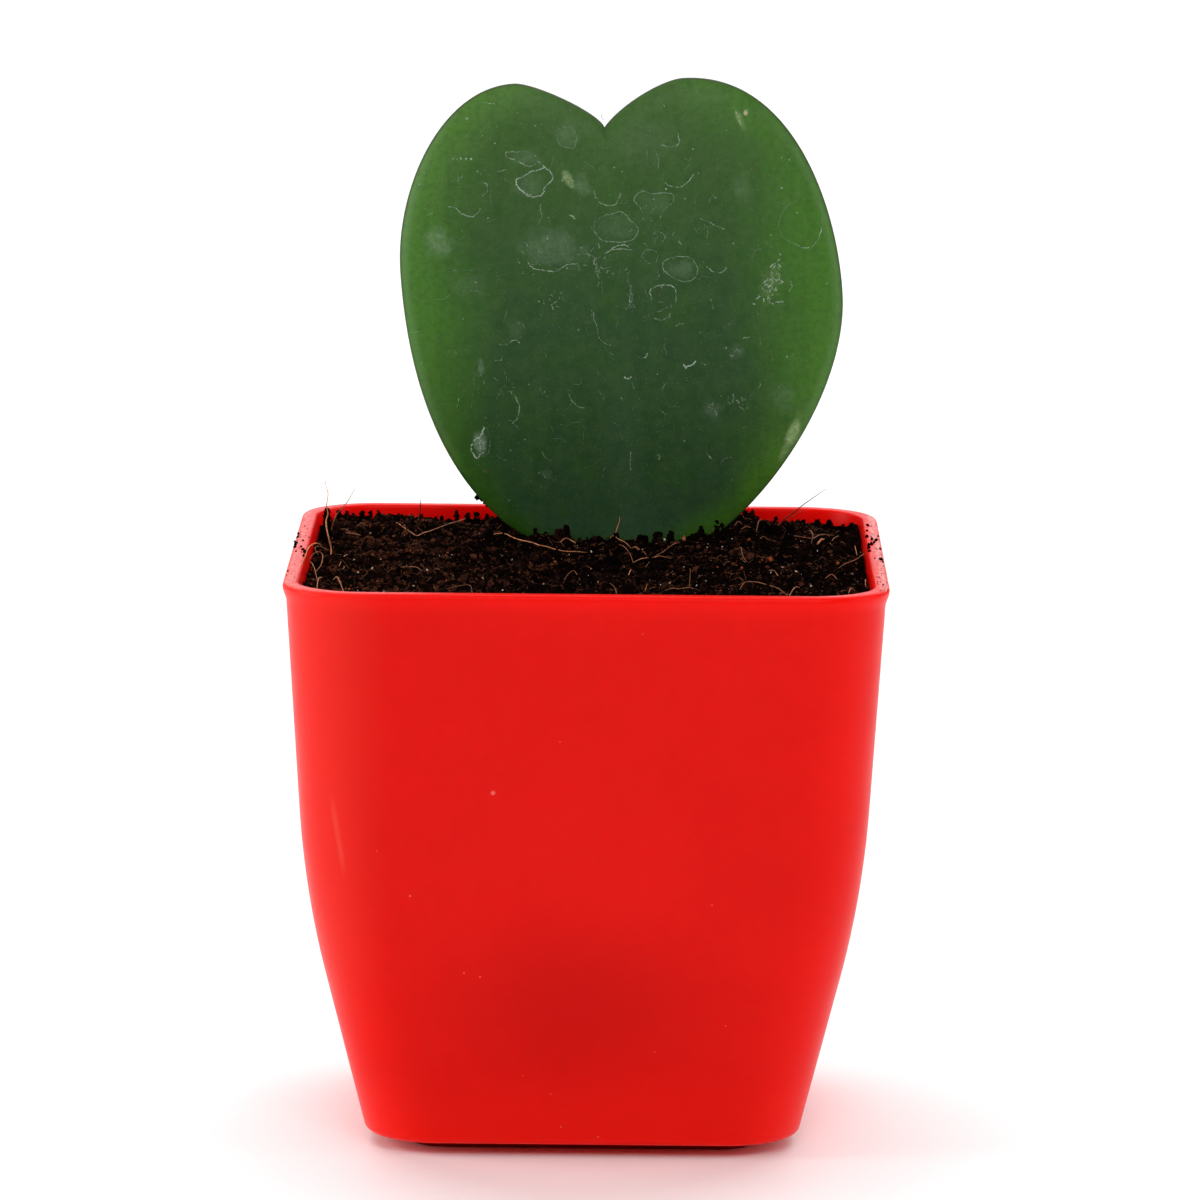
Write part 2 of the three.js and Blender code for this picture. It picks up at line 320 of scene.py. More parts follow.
def speck_mask(s, at, cell_mm, radius, rarity):
    """1 on small round specks: one in a few of the cells, where the cell's random value is over rarity."""
    voronoi = s.node("ShaderNodeTexVoronoi", {"Vector": at, "Scale": 1 / cell_mm})
    chance = s.split(voronoi.outputs["Color"])[0]
    size = s.ramp(chance, rarity, 1.0, 0.0, radius)
    inside = s.math("LESS_THAN", voronoi.outputs["Distance"], size)
    return s.times(inside, s.math("GREATER_THAN", chance, rarity))


# ---- Pot ----


def outer_half_width(z):
    lower = BASE_HALF_WIDTH + BASE_DRAFT * z
    upper = RIM_HALF_WIDTH - RIM_DRAFT * (POT_HEIGHT - z)
    near = max(BEND_SOFTNESS - abs(lower - upper), 0)
    return min(lower, upper) - near * near / (4 * BEND_SOFTNESS)


def outer_corner_radius(z):
    return BASE_CORNER + (RIM_CORNER - BASE_CORNER) * z / POT_HEIGHT


def square_ring(half_width, corner_radius, z, corner_steps=14, side_steps=12):
    """One counterclockwise ring of a round-cornered square at height z."""
    flat = half_width - corner_radius
    ring = []
    for quarter, (sx, sy) in enumerate([(1, -1), (1, 1), (-1, 1), (-1, -1)]):
        for i in range(corner_steps + 1):
            angle = math.radians(90 * (quarter - 1) + 90 * i / corner_steps)
            x = sx * flat + corner_radius * math.cos(angle)
            y = sy * flat + corner_radius * math.sin(angle)
            ring.append((x, y, z))
        along = Vector((-math.sin(angle), math.cos(angle)))
        for i in range(1, side_steps):
            step = along * (2 * flat * i / side_steps)
            ring.append((x + step.x, y + step.y, z))
    return ring


def wall_ring(z, inset):
    return square_ring(outer_half_width(z) - inset, outer_corner_radius(z) - inset, z)


def quarter_round(z, inset, radius, start, steps=5):
    """(z, inset) pairs of a quarter circle from the angle start: outward of its centre is 0, above it 90."""
    pairs = []
    for i in range(steps + 1):
        angle = math.radians(start + 90 * i / steps)
        pairs.append((z + radius * math.sin(angle), inset - radius * math.cos(angle)))
    return pairs


def pot_section():
    """(z, inset) pairs from the middle of the underside, round the wall, to the inner floor."""
    foot_out, foot_in = FOOT_INSET, FOOT_INSET + FOOT_WIDTH
    lip_start = POT_HEIGHT - LIP_HEIGHT
    flare = [(lip_start + t * (LIP_HEIGHT - LIP_ROUNDING), -LIP_FLARE * t * t * (3 - 2 * t))
             for t in np.linspace(0.15, 0.9, 6)]
    up = [(z, 0) for z in np.linspace(FOOT_HEIGHT + BASE_FILLET, lip_start, 58)][1:]
    down = [(z, WALL) for z in np.linspace(POT_HEIGHT - LIP_INNER_ROUNDING, FLOOR_TOP + 3, 34)][1:]
    return [
        (FOOT_HEIGHT, foot_in),
        *quarter_round(FOOT_ROUNDING, foot_in - FOOT_ROUNDING, FOOT_ROUNDING, 180, 3),
        *quarter_round(FOOT_ROUNDING, foot_out + FOOT_ROUNDING, FOOT_ROUNDING, 270, 3),
        (FOOT_HEIGHT, foot_out),
        *quarter_round(FOOT_HEIGHT + BASE_FILLET, BASE_FILLET, BASE_FILLET, 270),
        *up,
        *flare,
        *quarter_round(POT_HEIGHT - LIP_ROUNDING, LIP_ROUNDING - LIP_FLARE, LIP_ROUNDING, 0),
        *quarter_round(POT_HEIGHT - LIP_INNER_ROUNDING, WALL - LIP_INNER_ROUNDING, LIP_INNER_ROUNDING, 90),
        *down,
        (FLOOR_TOP, WALL),
    ]


def cut(piece, cutters):
    """Cuts the cutters out of the piece for good, and removes them."""
    for cutter in cutters:
        modifier = piece.modifiers.new("cut", "BOOLEAN")
        modifier.object = cutter
        modifier.operation = "DIFFERENCE"
        modifier.solver = "EXACT"
    bpy.context.view_layer.update()
    shaped = bpy.data.meshes.new_from_object(piece.evaluated_get(bpy.context.evaluated_depsgraph_get()))
    piece.modifiers.clear()
    piece.data = shaped
    for cutter in cutters:
        bpy.data.objects.remove(cutter)


def drain_cutter(x, y, sides=32):
    low, high = -WALL, FLOOR_TOP + WALL
    rings = [circle(DRAIN_RADIUS, sides, x, y, z) for z in (low, high)]
    points, faces = loft(rings, (x, y, low), (x, y, high))
    mesh = bpy.data.meshes.new("drain")
    mesh.from_pydata((np.array(points) * MM).tolist(), [], faces)
    return add_object("drain", mesh)


def make_pot(material):
    rings = [wall_ring(z, inset) for z, inset in pot_section()]
    points, faces = loft(rings, (0, 0, FOOT_HEIGHT), (0, 0, FLOOR_TOP))
    pot = make_piece("pot_shell", points, faces, material)
    corners = [(0, 0)] + [(sx * DRAIN_SPREAD, sy * DRAIN_SPREAD) for sx in (-1, 1) for sy in (-1, 1)]
    cut(pot, [drain_cutter(x, y) for x, y in corners])
    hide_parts("pot")


# Small pale flaws on the front wall: the pixel of each, and its radius in millimetres.
WALL_SPECK_PIXELS = [
    (493, 793, 0.5), (410, 896, 0.25), (361, 947, 0.3), (464, 973, 0.22), (480, 977, 0.22),
    (561, 1127, 0.22), (598, 1137, 0.22), (712, 905, 0.16), (560, 742, 0.14), (655, 1052, 0.14),
]
# A moulding streak on the left front corner, from its upper to its lower pixel.
WALL_STREAK_PIXELS = [(331, 773), (345, 896)]
# Painted shade low on the front wall, a darker oval: its middle pixel, and its radii along x, y and z in
# millimetres.
WALL_SHADE_PIXEL = (585, 1002)
WALL_SHADE_RADII = (28, 12, 17)


def front_wall_spot(x, y):
    """The point of the pot's front wall that the camera sees at a pixel."""
    place = seen_at_depth(x, y, -RIM_HALF_WIDTH)
    for _ in range(4):
        place = seen_at_depth(x, y, -outer_half_width(place.z))
    return place


def wall_specks(s, at):
    mask = 0.0
    for x, y, radius in WALL_SPECK_PIXELS:
        away = s.vector("DISTANCE", at, front_wall_spot(x, y))
        mask = s.larger(mask, s.ramp(away, 0.4 * radius, radius, 1.0, 0.0))
    return mask


def wall_streak(s, at):
    """A thin upright line on the front, which fades at both ends."""
    top, foot = (seen_at_depth(x, y, -RIM_HALF_WIDTH + 5) for x, y in WALL_STREAK_PIXELS)
    x, y, z = s.split(at)
    along = s.ramp(z, foot.z, top.z)
    off = s.math("SUBTRACT", x, s.ramp(z, foot.z, top.z, foot.x, top.x))
    line = s.ramp(s.absolute(off), 0.1, 0.7, 1.0, 0.0)
    ends = s.times(s.ramp(along, 0.0, 0.3), s.ramp(along, 0.7, 1.0, 1.0, 0.0))
    return s.times(line, ends, s.math("LESS_THAN", y, 0.0))


def painted_wall_shade(s, at):
    """A soft oval of painted shade on the front wall."""
    off = s.vector("SUBTRACT", at, front_wall_spot(*WALL_SHADE_PIXEL))
    return s.ramp(s.vector("LENGTH", s.vector("DIVIDE", off, WALL_SHADE_RADII)), 0.1, 1.25, 1.0, 0.0)


def rim_dust_and_highlight(s, at):
    """How much pale dust, which also paints the rim's pinkish highlight, and how much dark dust of the mix
    lies on the top of the left and right rim.
    """
    x, y, height = s.split(at)
    facing_up = s.ramp(s.split(s.node("ShaderNodeNewGeometry").outputs["Normal"])[2], 0.3, 0.9)
    at_rim = s.times(facing_up, s.ramp(height, POT_HEIGHT - 1.7, POT_HEIGHT - 0.5))
    across = s.larger(s.absolute(x), s.absolute(y))
    across = s.math("ADD", across, s.centred(s.noise(at, 1.4, 3), 1.6))
    left = s.times(s.ramp(x, -47.0, -42.0, 1.0, 0.0), s.ramp(across, 48.0, 49.0, 0.3, 0.68))
    right = s.times(s.ramp(x, 42.0, 47.0), s.ramp(across, 48.0, 49.0, 0.0, 1.1))
    at_side = s.times(at_rim, s.larger(left, right))
    patches = s.ramp(s.noise(s.stretched(at, 1, 0.4, 1), 0.7, 4, 0.75), 0.36, 0.64, 0.04, 0.56)
    long = s.stretched(at, 1, 0.3, 1)
    dirt = s.larger(speck_mask(s, long, 0.9, 0.5, 0.5), s.ramp(s.noise(long, 0.5, 3, 0.7), 0.56, 0.64))
    return s.times(at_side, patches), s.times(at_side, s.times(dirt, 0.55))


def red_plastic():
    """Moulded red plastic: satin, a little translucent, with faint clouds, small flaws and a dusty rim, and
    painted light: painted shade low on the front wall and under the foot, painted floor bounce near the
    bottom, a painted reflection at the front left and a painted highlight in the pale rim dust.
    """
    s = Shader("red_plastic")
    at = s.place()
    x, y, height = s.split(at)
    clouds = s.noise(at, 30, 2)
    mottle = s.noise(at, 2.5, 4)
    shade = s.math("ADD", s.times(clouds, 0.75), s.times(mottle, 0.25))
    # Painted reflection: the left part of the front wall made paler.
    painted_left_reflection = s.times(s.ramp(x, -41.0, -31.0, 0.85, 0.0), s.ramp(height, 14.0, 40.0))
    painted_left_reflection = s.times(painted_left_reflection, s.ramp(y, -30.0, -20.0, 1.0, 0.0))
    # Painted floor bounce: the wall made brighter red towards the bottom.
    painted_floor_bounce = s.ramp(height, 1.0, 18.0, 0.9, 0.0)
    # Painted shade: the foot ring and the underside below it made dark.
    painted_foot_shade = s.ramp(height, FOOT_HEIGHT - 0.3, FOOT_HEIGHT + 0.05, 0.75, 0.0)
    specks = s.larger(wall_specks(s, at), speck_mask(s, at, 4.8, 0.05, 0.86))
    flaws = s.larger(s.times(specks, 0.5), s.times(wall_streak(s, at), 0.1))
    # The pale dust is partly real dust and partly a painted highlight on the rim's top, most on the right.
    pale_dust_and_highlight, dark_dust = rim_dust_and_highlight(s, at)
    base = s.mix(s.ramp(shade, 0.3, 0.7), colour(225, 11, 3), colour(234, 14, 5))
    # Painted shade: the oval darkens the lower middle of the front wall.
    for amount, tone in [
            (s.times(painted_wall_shade(s, at), 0.6), colour(197, 9, 4)), (painted_left_reflection, colour(228, 36, 27)),
            (painted_floor_bounce, colour(252, 20, 9)), (painted_foot_shade, colour(60, 3, 2)), (flaws, colour(255, 150, 130)),
            (pale_dust_and_highlight, colour(255, 190, 186)), (dark_dust, colour(120, 24, 22))]:
        base = s.mix(amount, base, tone)
    s.set(
        Base_Color=base,
        Roughness=s.ramp(s.noise(at, 5, 5, 0.7), 0.35, 0.75, 0.33, 0.4),
        Normal=s.bump(s.noise(at, 0.8, 3), 0.05, 0.1),
        Specular_IOR_Level=0.09,
        Subsurface_Weight=0.6,
        Subsurface_Radius=(1.0, 0.05, 0.025),
        Subsurface_Scale=6 * MM,
    )
    return s.material


# ---- Leaf ----


def bezier(a, b, c, d, steps):
    t = np.linspace(0, 1, steps, endpoint=False)[:, None]
    a, b, c, d = (np.array(p, dtype=float) for p in (a, b, c, d))
    return (1 - t) ** 3 * a + 3 * (1 - t) ** 2 * t * b + 3 * (1 - t) * t * t * c + t ** 3 * d


def lobe_outline(lobe):
    """The outline of one lobe from the notch down to the stalk, without its last point."""
    side, top = lobe["side"], lobe["top"]
    outward = math.copysign(1, side[0])
    return np.vstack([
        bezier(NOTCH, lobe["notch_pull"], (top[0] - outward * lobe["top_pulls"][0], top[1]), top, 26),
        bezier(top, (top[0] + outward * lobe["top_pulls"][1], top[1]),
               (side[0], side[1] + lobe["side_pulls"][0]), side, 44),
        bezier(side, (side[0], side[1] - lobe["side_pulls"][1]), lobe["foot_pull"], (0, 0), 60),
    ])


def heart_outline():
    """Counterclockwise from the notch, as seen from the front."""
    left, right = (lobe_outline(lobe) for lobe in LOBES)
    return np.vstack([left, [(0, 0)], right[:0:-1]])


def blade_depth(u, v):
    across = u / BLADE_REACH_U
    along = (v - BLADE_HUB_V) / BLADE_REACH_V
    return BLADE_CUP * (across * across + along * along - 1)


def half_thickness(s):
    rounding = math.sqrt(1 - s ** MARGIN_ROUNDNESS)
    return BLADE_THICKNESS / 2 * rounding * (1 - MARGIN_THINNING * s * s)


def blade_swell(u, v):
    """Low, soft swellings of the faces, and the shallow groove of the midrib."""
    groove = -MIDRIB_DEPTH * math.exp(-(u / MIDRIB_WIDTH) ** 2) * clamp((MIDRIB_END - v) / MIDRIB_FADE)
    return 0.14 * fractal(u, v, 3.7, 19, 2) + 0.012 * fractal(u, v, 9.1, 5, 2) + groove


def leaf_to_world(points):
    """From (u, depth, v) in the leaf's frame to the object's frame."""
    turn = np.array(Matrix.Rotation(LEAF_LEAN, 3, "Y"))
    return np.asarray(points) @ turn.T + np.array(LEAF_FOOT)


def blade_fractions():
    """How far from hub to margin the rings lie: close together where the margin rounds off."""
    middle = np.linspace(0.04, 0.84, 26)
    edge = 1 - 0.16 * (1 - np.linspace(0, 1, 16)[1:-1]) ** 2.4
    return [*middle, *edge]


def make_leaf_piece(name, points, faces, material, front, margin):
    """A piece from (u, depth, v) points, with how far each faces the front and lies from the margin."""
    piece = make_piece(name, leaf_to_world(points), faces, material)
    store(piece, "leaf_place", "FLOAT_VECTOR", [(u, v, 0) for u, _, v in points])
    store(piece, "front", "FLOAT", np.full(len(points), front))
    store(piece, "margin", "FLOAT", np.full(len(points), margin))
    return piece


def make_leaf(material):
    outline = heart_outline() - np.array((0, BLADE_HUB_V))
    fractions = blade_fractions()
    points, front, margin = [], [], []

    def add_ring(s, face):
        for ray in outline:
            u, v = s * ray[0], BLADE_HUB_V + s * ray[1]
            thick = half_thickness(s)
            fade = thick / (BLADE_THICKNESS / 2)
            points.append((u, blade_depth(u, v) + face * (thick + fade * blade_swell(u, v)), v))
            front.append(0.5 - 0.5 * face * min(fade * 1.5, 1))
            margin.append((1 - s) * math.hypot(*ray))

    for s in fractions:
        add_ring(s, 1)
    add_ring(1.0, 0)
    for s in reversed(fractions):
        add_ring(s, -1)
    for face in (1, -1):
        thick = half_thickness(0) + blade_swell(0, BLADE_HUB_V)
        points.append((0, blade_depth(0, BLADE_HUB_V) + face * thick, BLADE_HUB_V))
        front.append(0.5 - 0.5 * face)
        margin.append(BLADE_HUB_V)
    faces = loft_faces(2 * len(fractions) + 1, len(outline))
    leaf = make_leaf_piece("heart_leaf", points, faces, material, front, margin)
    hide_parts("leaf")


def make_stalk(material, sides=28):
    """The short stalk under the blade, which stands in the mix."""
    foot, *rings, top = [circle(radius, sides, z=height) for radius, height in STALK_PROFILE]
    stalk = make_leaf_piece("leaf_stalk", *loft(rings, foot[0], top[0]), material, 0.5, STALK_MARGIN)
    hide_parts("leaf")


# ---- Dried water marks on the leaf ----

MARK_RISE = 0.035
MARK_WANDER = 0.055 # how far a line strays from its route
SCRATCH_COUNT = 150 # faint short marks all over the face
# Lines on the blade's front face: strength, width in millimetres, and the route in pixels of the photograph.
# A route that ends where it starts is a ring.
MARK_LINES = [
    (0.6, 0.24, [(516, 179), (517, 185), (523, 192), (532, 196)]),
    (0.38, 0.2, [(516, 179), (523, 177), (530, 172), (538, 170), (545, 168), (552, 174), (552, 180),
        (545, 187), (542, 195), (532, 197), (523, 193)]),
    (0.36, 0.18, [(506, 152), (515, 152), (527, 152), (538, 159), (533, 166), (525, 165), (515, 160),
        (507, 157), (506, 152)]),
    (0.35, 0.2, [(538, 161), (543, 165), (548, 170)]),
    (0.16, 0.17, [(557, 137), (558, 132), (567, 127), (575, 132), (577, 140), (573, 148), (560, 145),
        (557, 137)]),
    (0.3, 0.18, [(448, 207), (455, 208), (462, 214), (472, 217), (478, 213), (480, 208)]),
    (0.28, 0.17, [(482, 182), (487, 185), (487, 192), (482, 196)]),
    (0.25, 0.17, [(427, 215), (430, 215), (433, 212)]),
    (0.3, 0.2, [(497, 172), (507, 170)]),
    (0.3, 0.15, [(483, 103), (496, 105)]),
    (0.45, 0.2, [(528, 262), (533, 268), (542, 270), (555, 271), (567, 265), (577, 264), (588, 266)]),
    (0.65, 0.3, [(568, 215), (572, 216), (575, 219)]),
    (0.35, 0.32, [(547, 235), (548, 240)]),
    (0.35, 0.17, [(523, 242), (526, 243), (528, 247)]),
    (0.35, 0.17, [(577, 255), (587, 254), (595, 258), (593, 265)]),
    (0.26, 0.16, [(597, 262), (596, 270), (599, 278), (598, 287)]),
    (0.3, 0.17, [(542, 203), (540, 209), (542, 215)]),
    (0.45, 0.18, [(607, 253), (615, 247), (623, 245), (629, 247)]),
    (0.35, 0.18, [(594, 190), (596, 198), (602, 204), (614, 205), (618, 200), (621, 192)]),
    (0.24, 0.16, [(594, 228), (595, 222), (602, 217), (612, 214), (622, 212), (630, 220), (638, 228),
        (637, 234), (632, 240), (614, 242), (602, 240), (596, 234), (594, 228)]),
    (0.45, 0.24, [(474, 281), (477, 283)]),
    (0.3, 0.17, [(467, 291), (480, 291)]),
    (0.2, 0.15, [(447, 272), (462, 270), (477, 271)]),
    (0.35, 0.18, [(678, 132), (679, 144), (670, 147), (660, 145)]),
    (0.38, 0.18, [(664, 182), (670, 186), (680, 187), (688, 182), (694, 174)]),
    (0.24, 0.16, [(642, 210), (636, 203), (634, 199), (642, 191), (652, 194), (662, 193), (672, 194),
        (673, 202), (664, 210), (660, 219)]),
    (0.28, 0.17, [(653, 236), (659, 232), (665, 237), (660, 244), (654, 242), (653, 236)]),
    (0.3, 0.17, [(700, 218), (712, 224), (725, 229)]),
    (0.38, 0.2, [(794, 244), (803, 248), (811, 247), (818, 240), (822, 228)]),
    (0.09, 0.16, [(822, 228), (821, 210), (812, 199), (797, 200), (784, 210), (779, 225), (784, 238),
        (794, 244)]),
    (0.45, 0.18, [(706, 266), (714, 272), (722, 272), (727, 268)]),
    (0.26, 0.17, [(663, 262), (670, 258), (688, 257), (696, 264), (697, 274), (690, 281), (678, 280),
        (668, 274), (663, 268), (663, 262)]),
    (0.18, 0.15, [(641, 256), (647, 250), (656, 252), (657, 260), (649, 263), (641, 256)]),
    (0.38, 0.18, [(604, 254), (610, 250), (620, 249), (632, 250)]),
    (0.3, 0.16, [(630, 270), (628, 280), (632, 292), (631, 302), (626, 310)]),
    (0.45, 0.2, [(652, 300), (650, 290), (656, 287), (664, 285), (674, 287), (676, 294), (676, 304)]),
    (0.4, 0.18, [(654, 318), (660, 320), (668, 318), (671, 313)]),
    (0.7, 0.24, [(775, 302), (784, 302)]),
    (0.25, 0.17, [(790, 280), (792, 286), (789, 292)]),
    (0.22, 0.17, [(710, 298), (714, 310)]),
    (0.38, 0.19, [(675, 326), (679, 324), (684, 324)]),
    (0.38, 0.18, [(553, 310), (552, 305), (557, 301), (562, 296), (573, 299)]),
    (0.4, 0.2, [(499, 344), (505, 345), (515, 340), (520, 343)]),
    (0.38, 0.19, [(495, 361), (501, 360), (503, 356)]),
    (0.2, 0.17, [(516, 322), (523, 325), (525, 332), (520, 338)]),
    (0.34, 0.18, [(509, 391), (514, 395), (519, 406), (518, 417), (512, 424)]),
    (1.0, 0.26, [(484, 427), (481, 436), (474, 441), (471, 449), (473, 454), (477, 459), (479, 457),
        (482, 453), (486, 455), (489, 452), (490, 445), (490, 436), (487, 429), (484, 427)]),
    (0.5, 0.2, [(483, 438), (480, 443), (481, 451)]),
    (0.45, 0.2, [(487, 441), (484, 445), (485, 451)]),
    (0.38, 0.19, [(568, 393), (572, 401), (579, 407), (585, 408)]),
    (0.85, 0.3, [(624, 377), (628, 379), (632, 376)]),
    (0.35, 0.18, [(632, 382), (634, 390)]),
    (0.4, 0.26, [(621, 397), (623, 401)]),
    (0.3, 0.16, [(594, 312), (594, 319), (597, 327), (599, 338), (607, 345)]),
    (0.45, 0.18, [(631, 285), (630, 296), (630, 308)]),
    (0.34, 0.2, [(631, 452), (630, 462), (631, 471)]),
    (0.3, 0.17, [(411, 333), (419, 332), (428, 330)]),
    (0.65, 0.28, [(641, 358), (646, 357), (647, 353)]),
    (0.75, 0.24, [(683, 364), (686, 367), (692, 365), (696, 361)]),
    (0.3, 0.19, [(742, 339), (750, 337)]),
    (0.45, 0.26, [(657, 455), (660, 456), (659, 460)]),
    (0.4, 0.24, [(706, 450), (708, 455), (711, 459)]),
    (0.25, 0.17, [(459, 397), (457, 408)]),
    (0.2, 0.17, [(542, 450), (545, 458), (552, 461)]),
    (0.45, 0.2, [(735, 110), (738, 117), (741, 125)]),
]
# Dots on the front face: pixel, radius in millimetres and strength.
MARK_DOTS = [
    (467, 119, 0.25, 1.0), (471, 159, 0.22, 1.0), (466, 159, 0.17, 1.0), (461, 159, 0.17, 0.95),
    (457, 159, 0.15, 0.8), (453, 159, 0.14, 0.6), (746, 113, 0.34, 1.0), (664, 106, 0.15, 0.8),
    (693, 149, 0.13, 0.5), (666, 189, 0.17, 0.8), (797, 213, 0.15, 0.7), (801, 161, 0.13, 0.5),
    (610, 345, 0.15, 0.8), (686, 368, 0.17, 1.0), (724, 229, 0.17, 0.7), (463, 319, 0.15, 0.5),
    (787, 357, 0.2, 0.45), (737, 401, 0.17, 0.6), (733, 395, 0.14, 0.5), (721, 396, 0.13, 0.45),
    (743, 405, 0.14, 0.4), (747, 408, 0.15, 0.45), (726, 348, 0.21, 0.4), (731, 356, 0.21, 0.35),
    (739, 351, 0.25, 0.35), (705, 365, 0.15, 0.5), (713, 225, 0.13, 0.5), (539, 473, 0.19, 0.4),
    (545, 477, 0.17, 0.4), (758, 314, 0.14, 0.4), (518, 443, 0.19, 0.35), (509, 501, 0.17, 0.3),
    (419, 185, 0.15, 0.5), (424, 174, 0.13, 0.4), (467, 136, 0.13, 0.35), (517, 113, 0.14, 0.3),
    (497, 127, 0.14, 0.35),
]
# Groups of short strokes: middle pixel, radii in millimetres, tilt in degrees, count and strength.
MARK_STROKES = [
    (770, 284, 1.5, 4.2, -18, 60, 0.9), (733, 402, 2.4, 1.4, -25, 10, 0.35),
    (733, 352, 2.0, 1.2, 0, 8, 0.35), (540, 262, 5.0, 2.2, 0, 14, 0.3), (598, 262, 2.4, 2.6, 0, 16, 0.32),
    (630, 290, 1.2, 5.5, 0, 14, 0.35), (502, 388, 3.2, 2.6, 0, 12, 0.25), (655, 240, 4.4, 3.6, 0, 14, 0.25),
    (713, 409, 1.6, 2.2, 20, 8, 0.3), (568, 178, 0.7, 1.1, 25, 14, 0.5), (480, 366, 0.8, 1.5, 0, 8, 0.35),
    (660, 300, 2.4, 3.0, 0, 8, 0.25), (557, 298, 2.2, 1.8, 0, 8, 0.3), (640, 205, 4.0, 3.0, 0, 10, 0.22),
    (460, 180, 3.0, 2.0, 0, 8, 0.2),
]
# Soft hazes: middle pixel, radii in millimetres, tilt in degrees, strength, and film.
# The films are 0 pale, 1 beige and 2 green.
MARK_HAZES = [
    (438, 243, 2.6, 3.0, 0, 0.16, 0), (553, 249, 6.0, 3.8, 8, 0.11, 0), (567, 136, 2.2, 2.2, 0, 0.09, 0),
    (525, 158, 2.8, 1.4, 12, 0.09, 0), (742, 188, 1.8, 2.6, 0, 0.07, 0), (782, 398, 2.2, 3.2, 0, 0.07, 0),
    (793, 434, 1.2, 3.4, 22, 0.85, 2), (788, 445, 0.8, 3.4, 30, 0.5, 2), (741, 122, 0.6, 2.4, -24, 0.3, 2),
    (568, 178, 0.9, 1.5, -28, 0.7, 2), (770, 284, 1.7, 4.2, 18, 0.14, 2), (516, 330, 1.6, 1.8, 0, 0.05, 0),
    (481, 367, 0.7, 1.4, 0, 0.2, 0), (713, 409, 1.8, 2.2, -20, 0.08, 0), (582, 186, 1.4, 2.4, -30, 0.12, 0),
    (681, 269, 2.6, 1.6, 10, 0.1, 0), (470, 285, 3.4, 2.4, 0, 0.04, 0), (737, 352, 1.6, 1.4, 0, 0.08, 0),
    (746, 113, 0.4, 0.5, 0, 0.9, 1), (480, 443, 1.2, 2.5, -12, 0.42, 0), (546, 474, 1.2, 0.8, 30, 0.08, 0),
    (645, 140, 6.0, 4.0, 0, 0.04, 0), (530, 186, 3.0, 2.2, 0, 0.07, 0), (655, 202, 3.6, 2.6, 0, 0.06, 0),
    (615, 228, 3.6, 2.4, 0, 0.06, 0),
]
# Small brown ticks: pixel and radii in millimetres.
MARK_TICKS = [(755, 169, 0.15, 0.5), (660, 294, 0.12, 0.6), (487, 472, 0.35, 0.25)]
MARK_TICK_TILT = -28


def leaf_spot(x, y):
    """(u, v) of the point of the blade's front face that the camera sees at a pixel."""
    depth = 0
    for _ in range(4):
        place = Matrix.Rotation(-LEAF_LEAN, 3, "Y") @ (seen_at_depth(x, y, LEAF_FOOT.y + depth) - LEAF_FOOT)
        depth = blade_depth(place.x, place.z) - BLADE_THICKNESS / 2
    return place.x, place.z


def outline_reach():
    """Angles about the hub, rising, and how far the blade's margin lies from the hub at each."""
    rays = heart_outline() - np.array((0, BLADE_HUB_V))
    angles = np.arctan2(rays[:, 1], rays[:, 0])
    order = np.argsort(angles)
    return angles[order], np.hypot(rays[:, 0], rays[:, 1])[order]


def front_face(u, v, reach):
    """Depth of the blade's front face at (u, v), and the distance from there out to the margin."""
    away = math.hypot(u, v - BLADE_HUB_V)
    edge = np.interp(math.atan2(v - BLADE_HUB_V, u), *reach, period=2 * math.pi)
    thick = half_thickness(min(away / edge, 0.99))
    swell = blade_swell(u, v) * thick / (BLADE_THICKNESS / 2)
    return blade_depth(u, v) - thick - swell, edge - away


def ribbon(rng, route, width, sides=6):
    """(u, v, rise, share) points and faces of a low, broken, closed ridge along a route of (u, v) points.

    The share says how much of the mark's strength is left at the point.
    """
    path = smooth_route([np.array(p) for p in route], 6)
    along = np.gradient(path, axis=0)
    along /= np.maximum(np.linalg.norm(along, axis=1, keepdims=True), 1e-6)
    across = np.stack([-along[:, 1], along[:, 0]], -1)
    path = path + across * rng.normal(0, MARK_WANDER, (len(path), 1))
    share = 0.9 + np.cumsum(rng.normal(0, 0.08, len(path))) + rng.normal(0, 0.4, len(path))
    share = np.clip(share, 0.1, 1.5)
    half = width / 2 * (0.25 + 0.75 * np.minimum(share, 1))
    half[[0, -1]] *= 0.4
    points = []
    for i in range(len(path)):
        for k in range(sides):
            angle = 2 * math.pi * k / sides
            u, v = path[i] + across[i] * half[i] * math.cos(angle)
            points.append((u, v, MARK_RISE * math.sin(angle), share[i]))
    points += [(*path[0], 0, share[0]), (*path[-1], 0, share[-1])]
    return points, loft_faces(len(path), sides)


def known_marks():
    """(strength, width, route of (u, v) points) of every line and dot."""
    routes = [(strength, width, [leaf_spot(*p) for p in pixels]) for strength, width, pixels in MARK_LINES]
    for x, y, radius, strength in MARK_DOTS:
        u, v = leaf_spot(x, y)
        routes.append((strength, 2 * radius, [(u - 0.8 * radius, v), (u, v), (u + 0.8 * radius, v)]))
    return routes


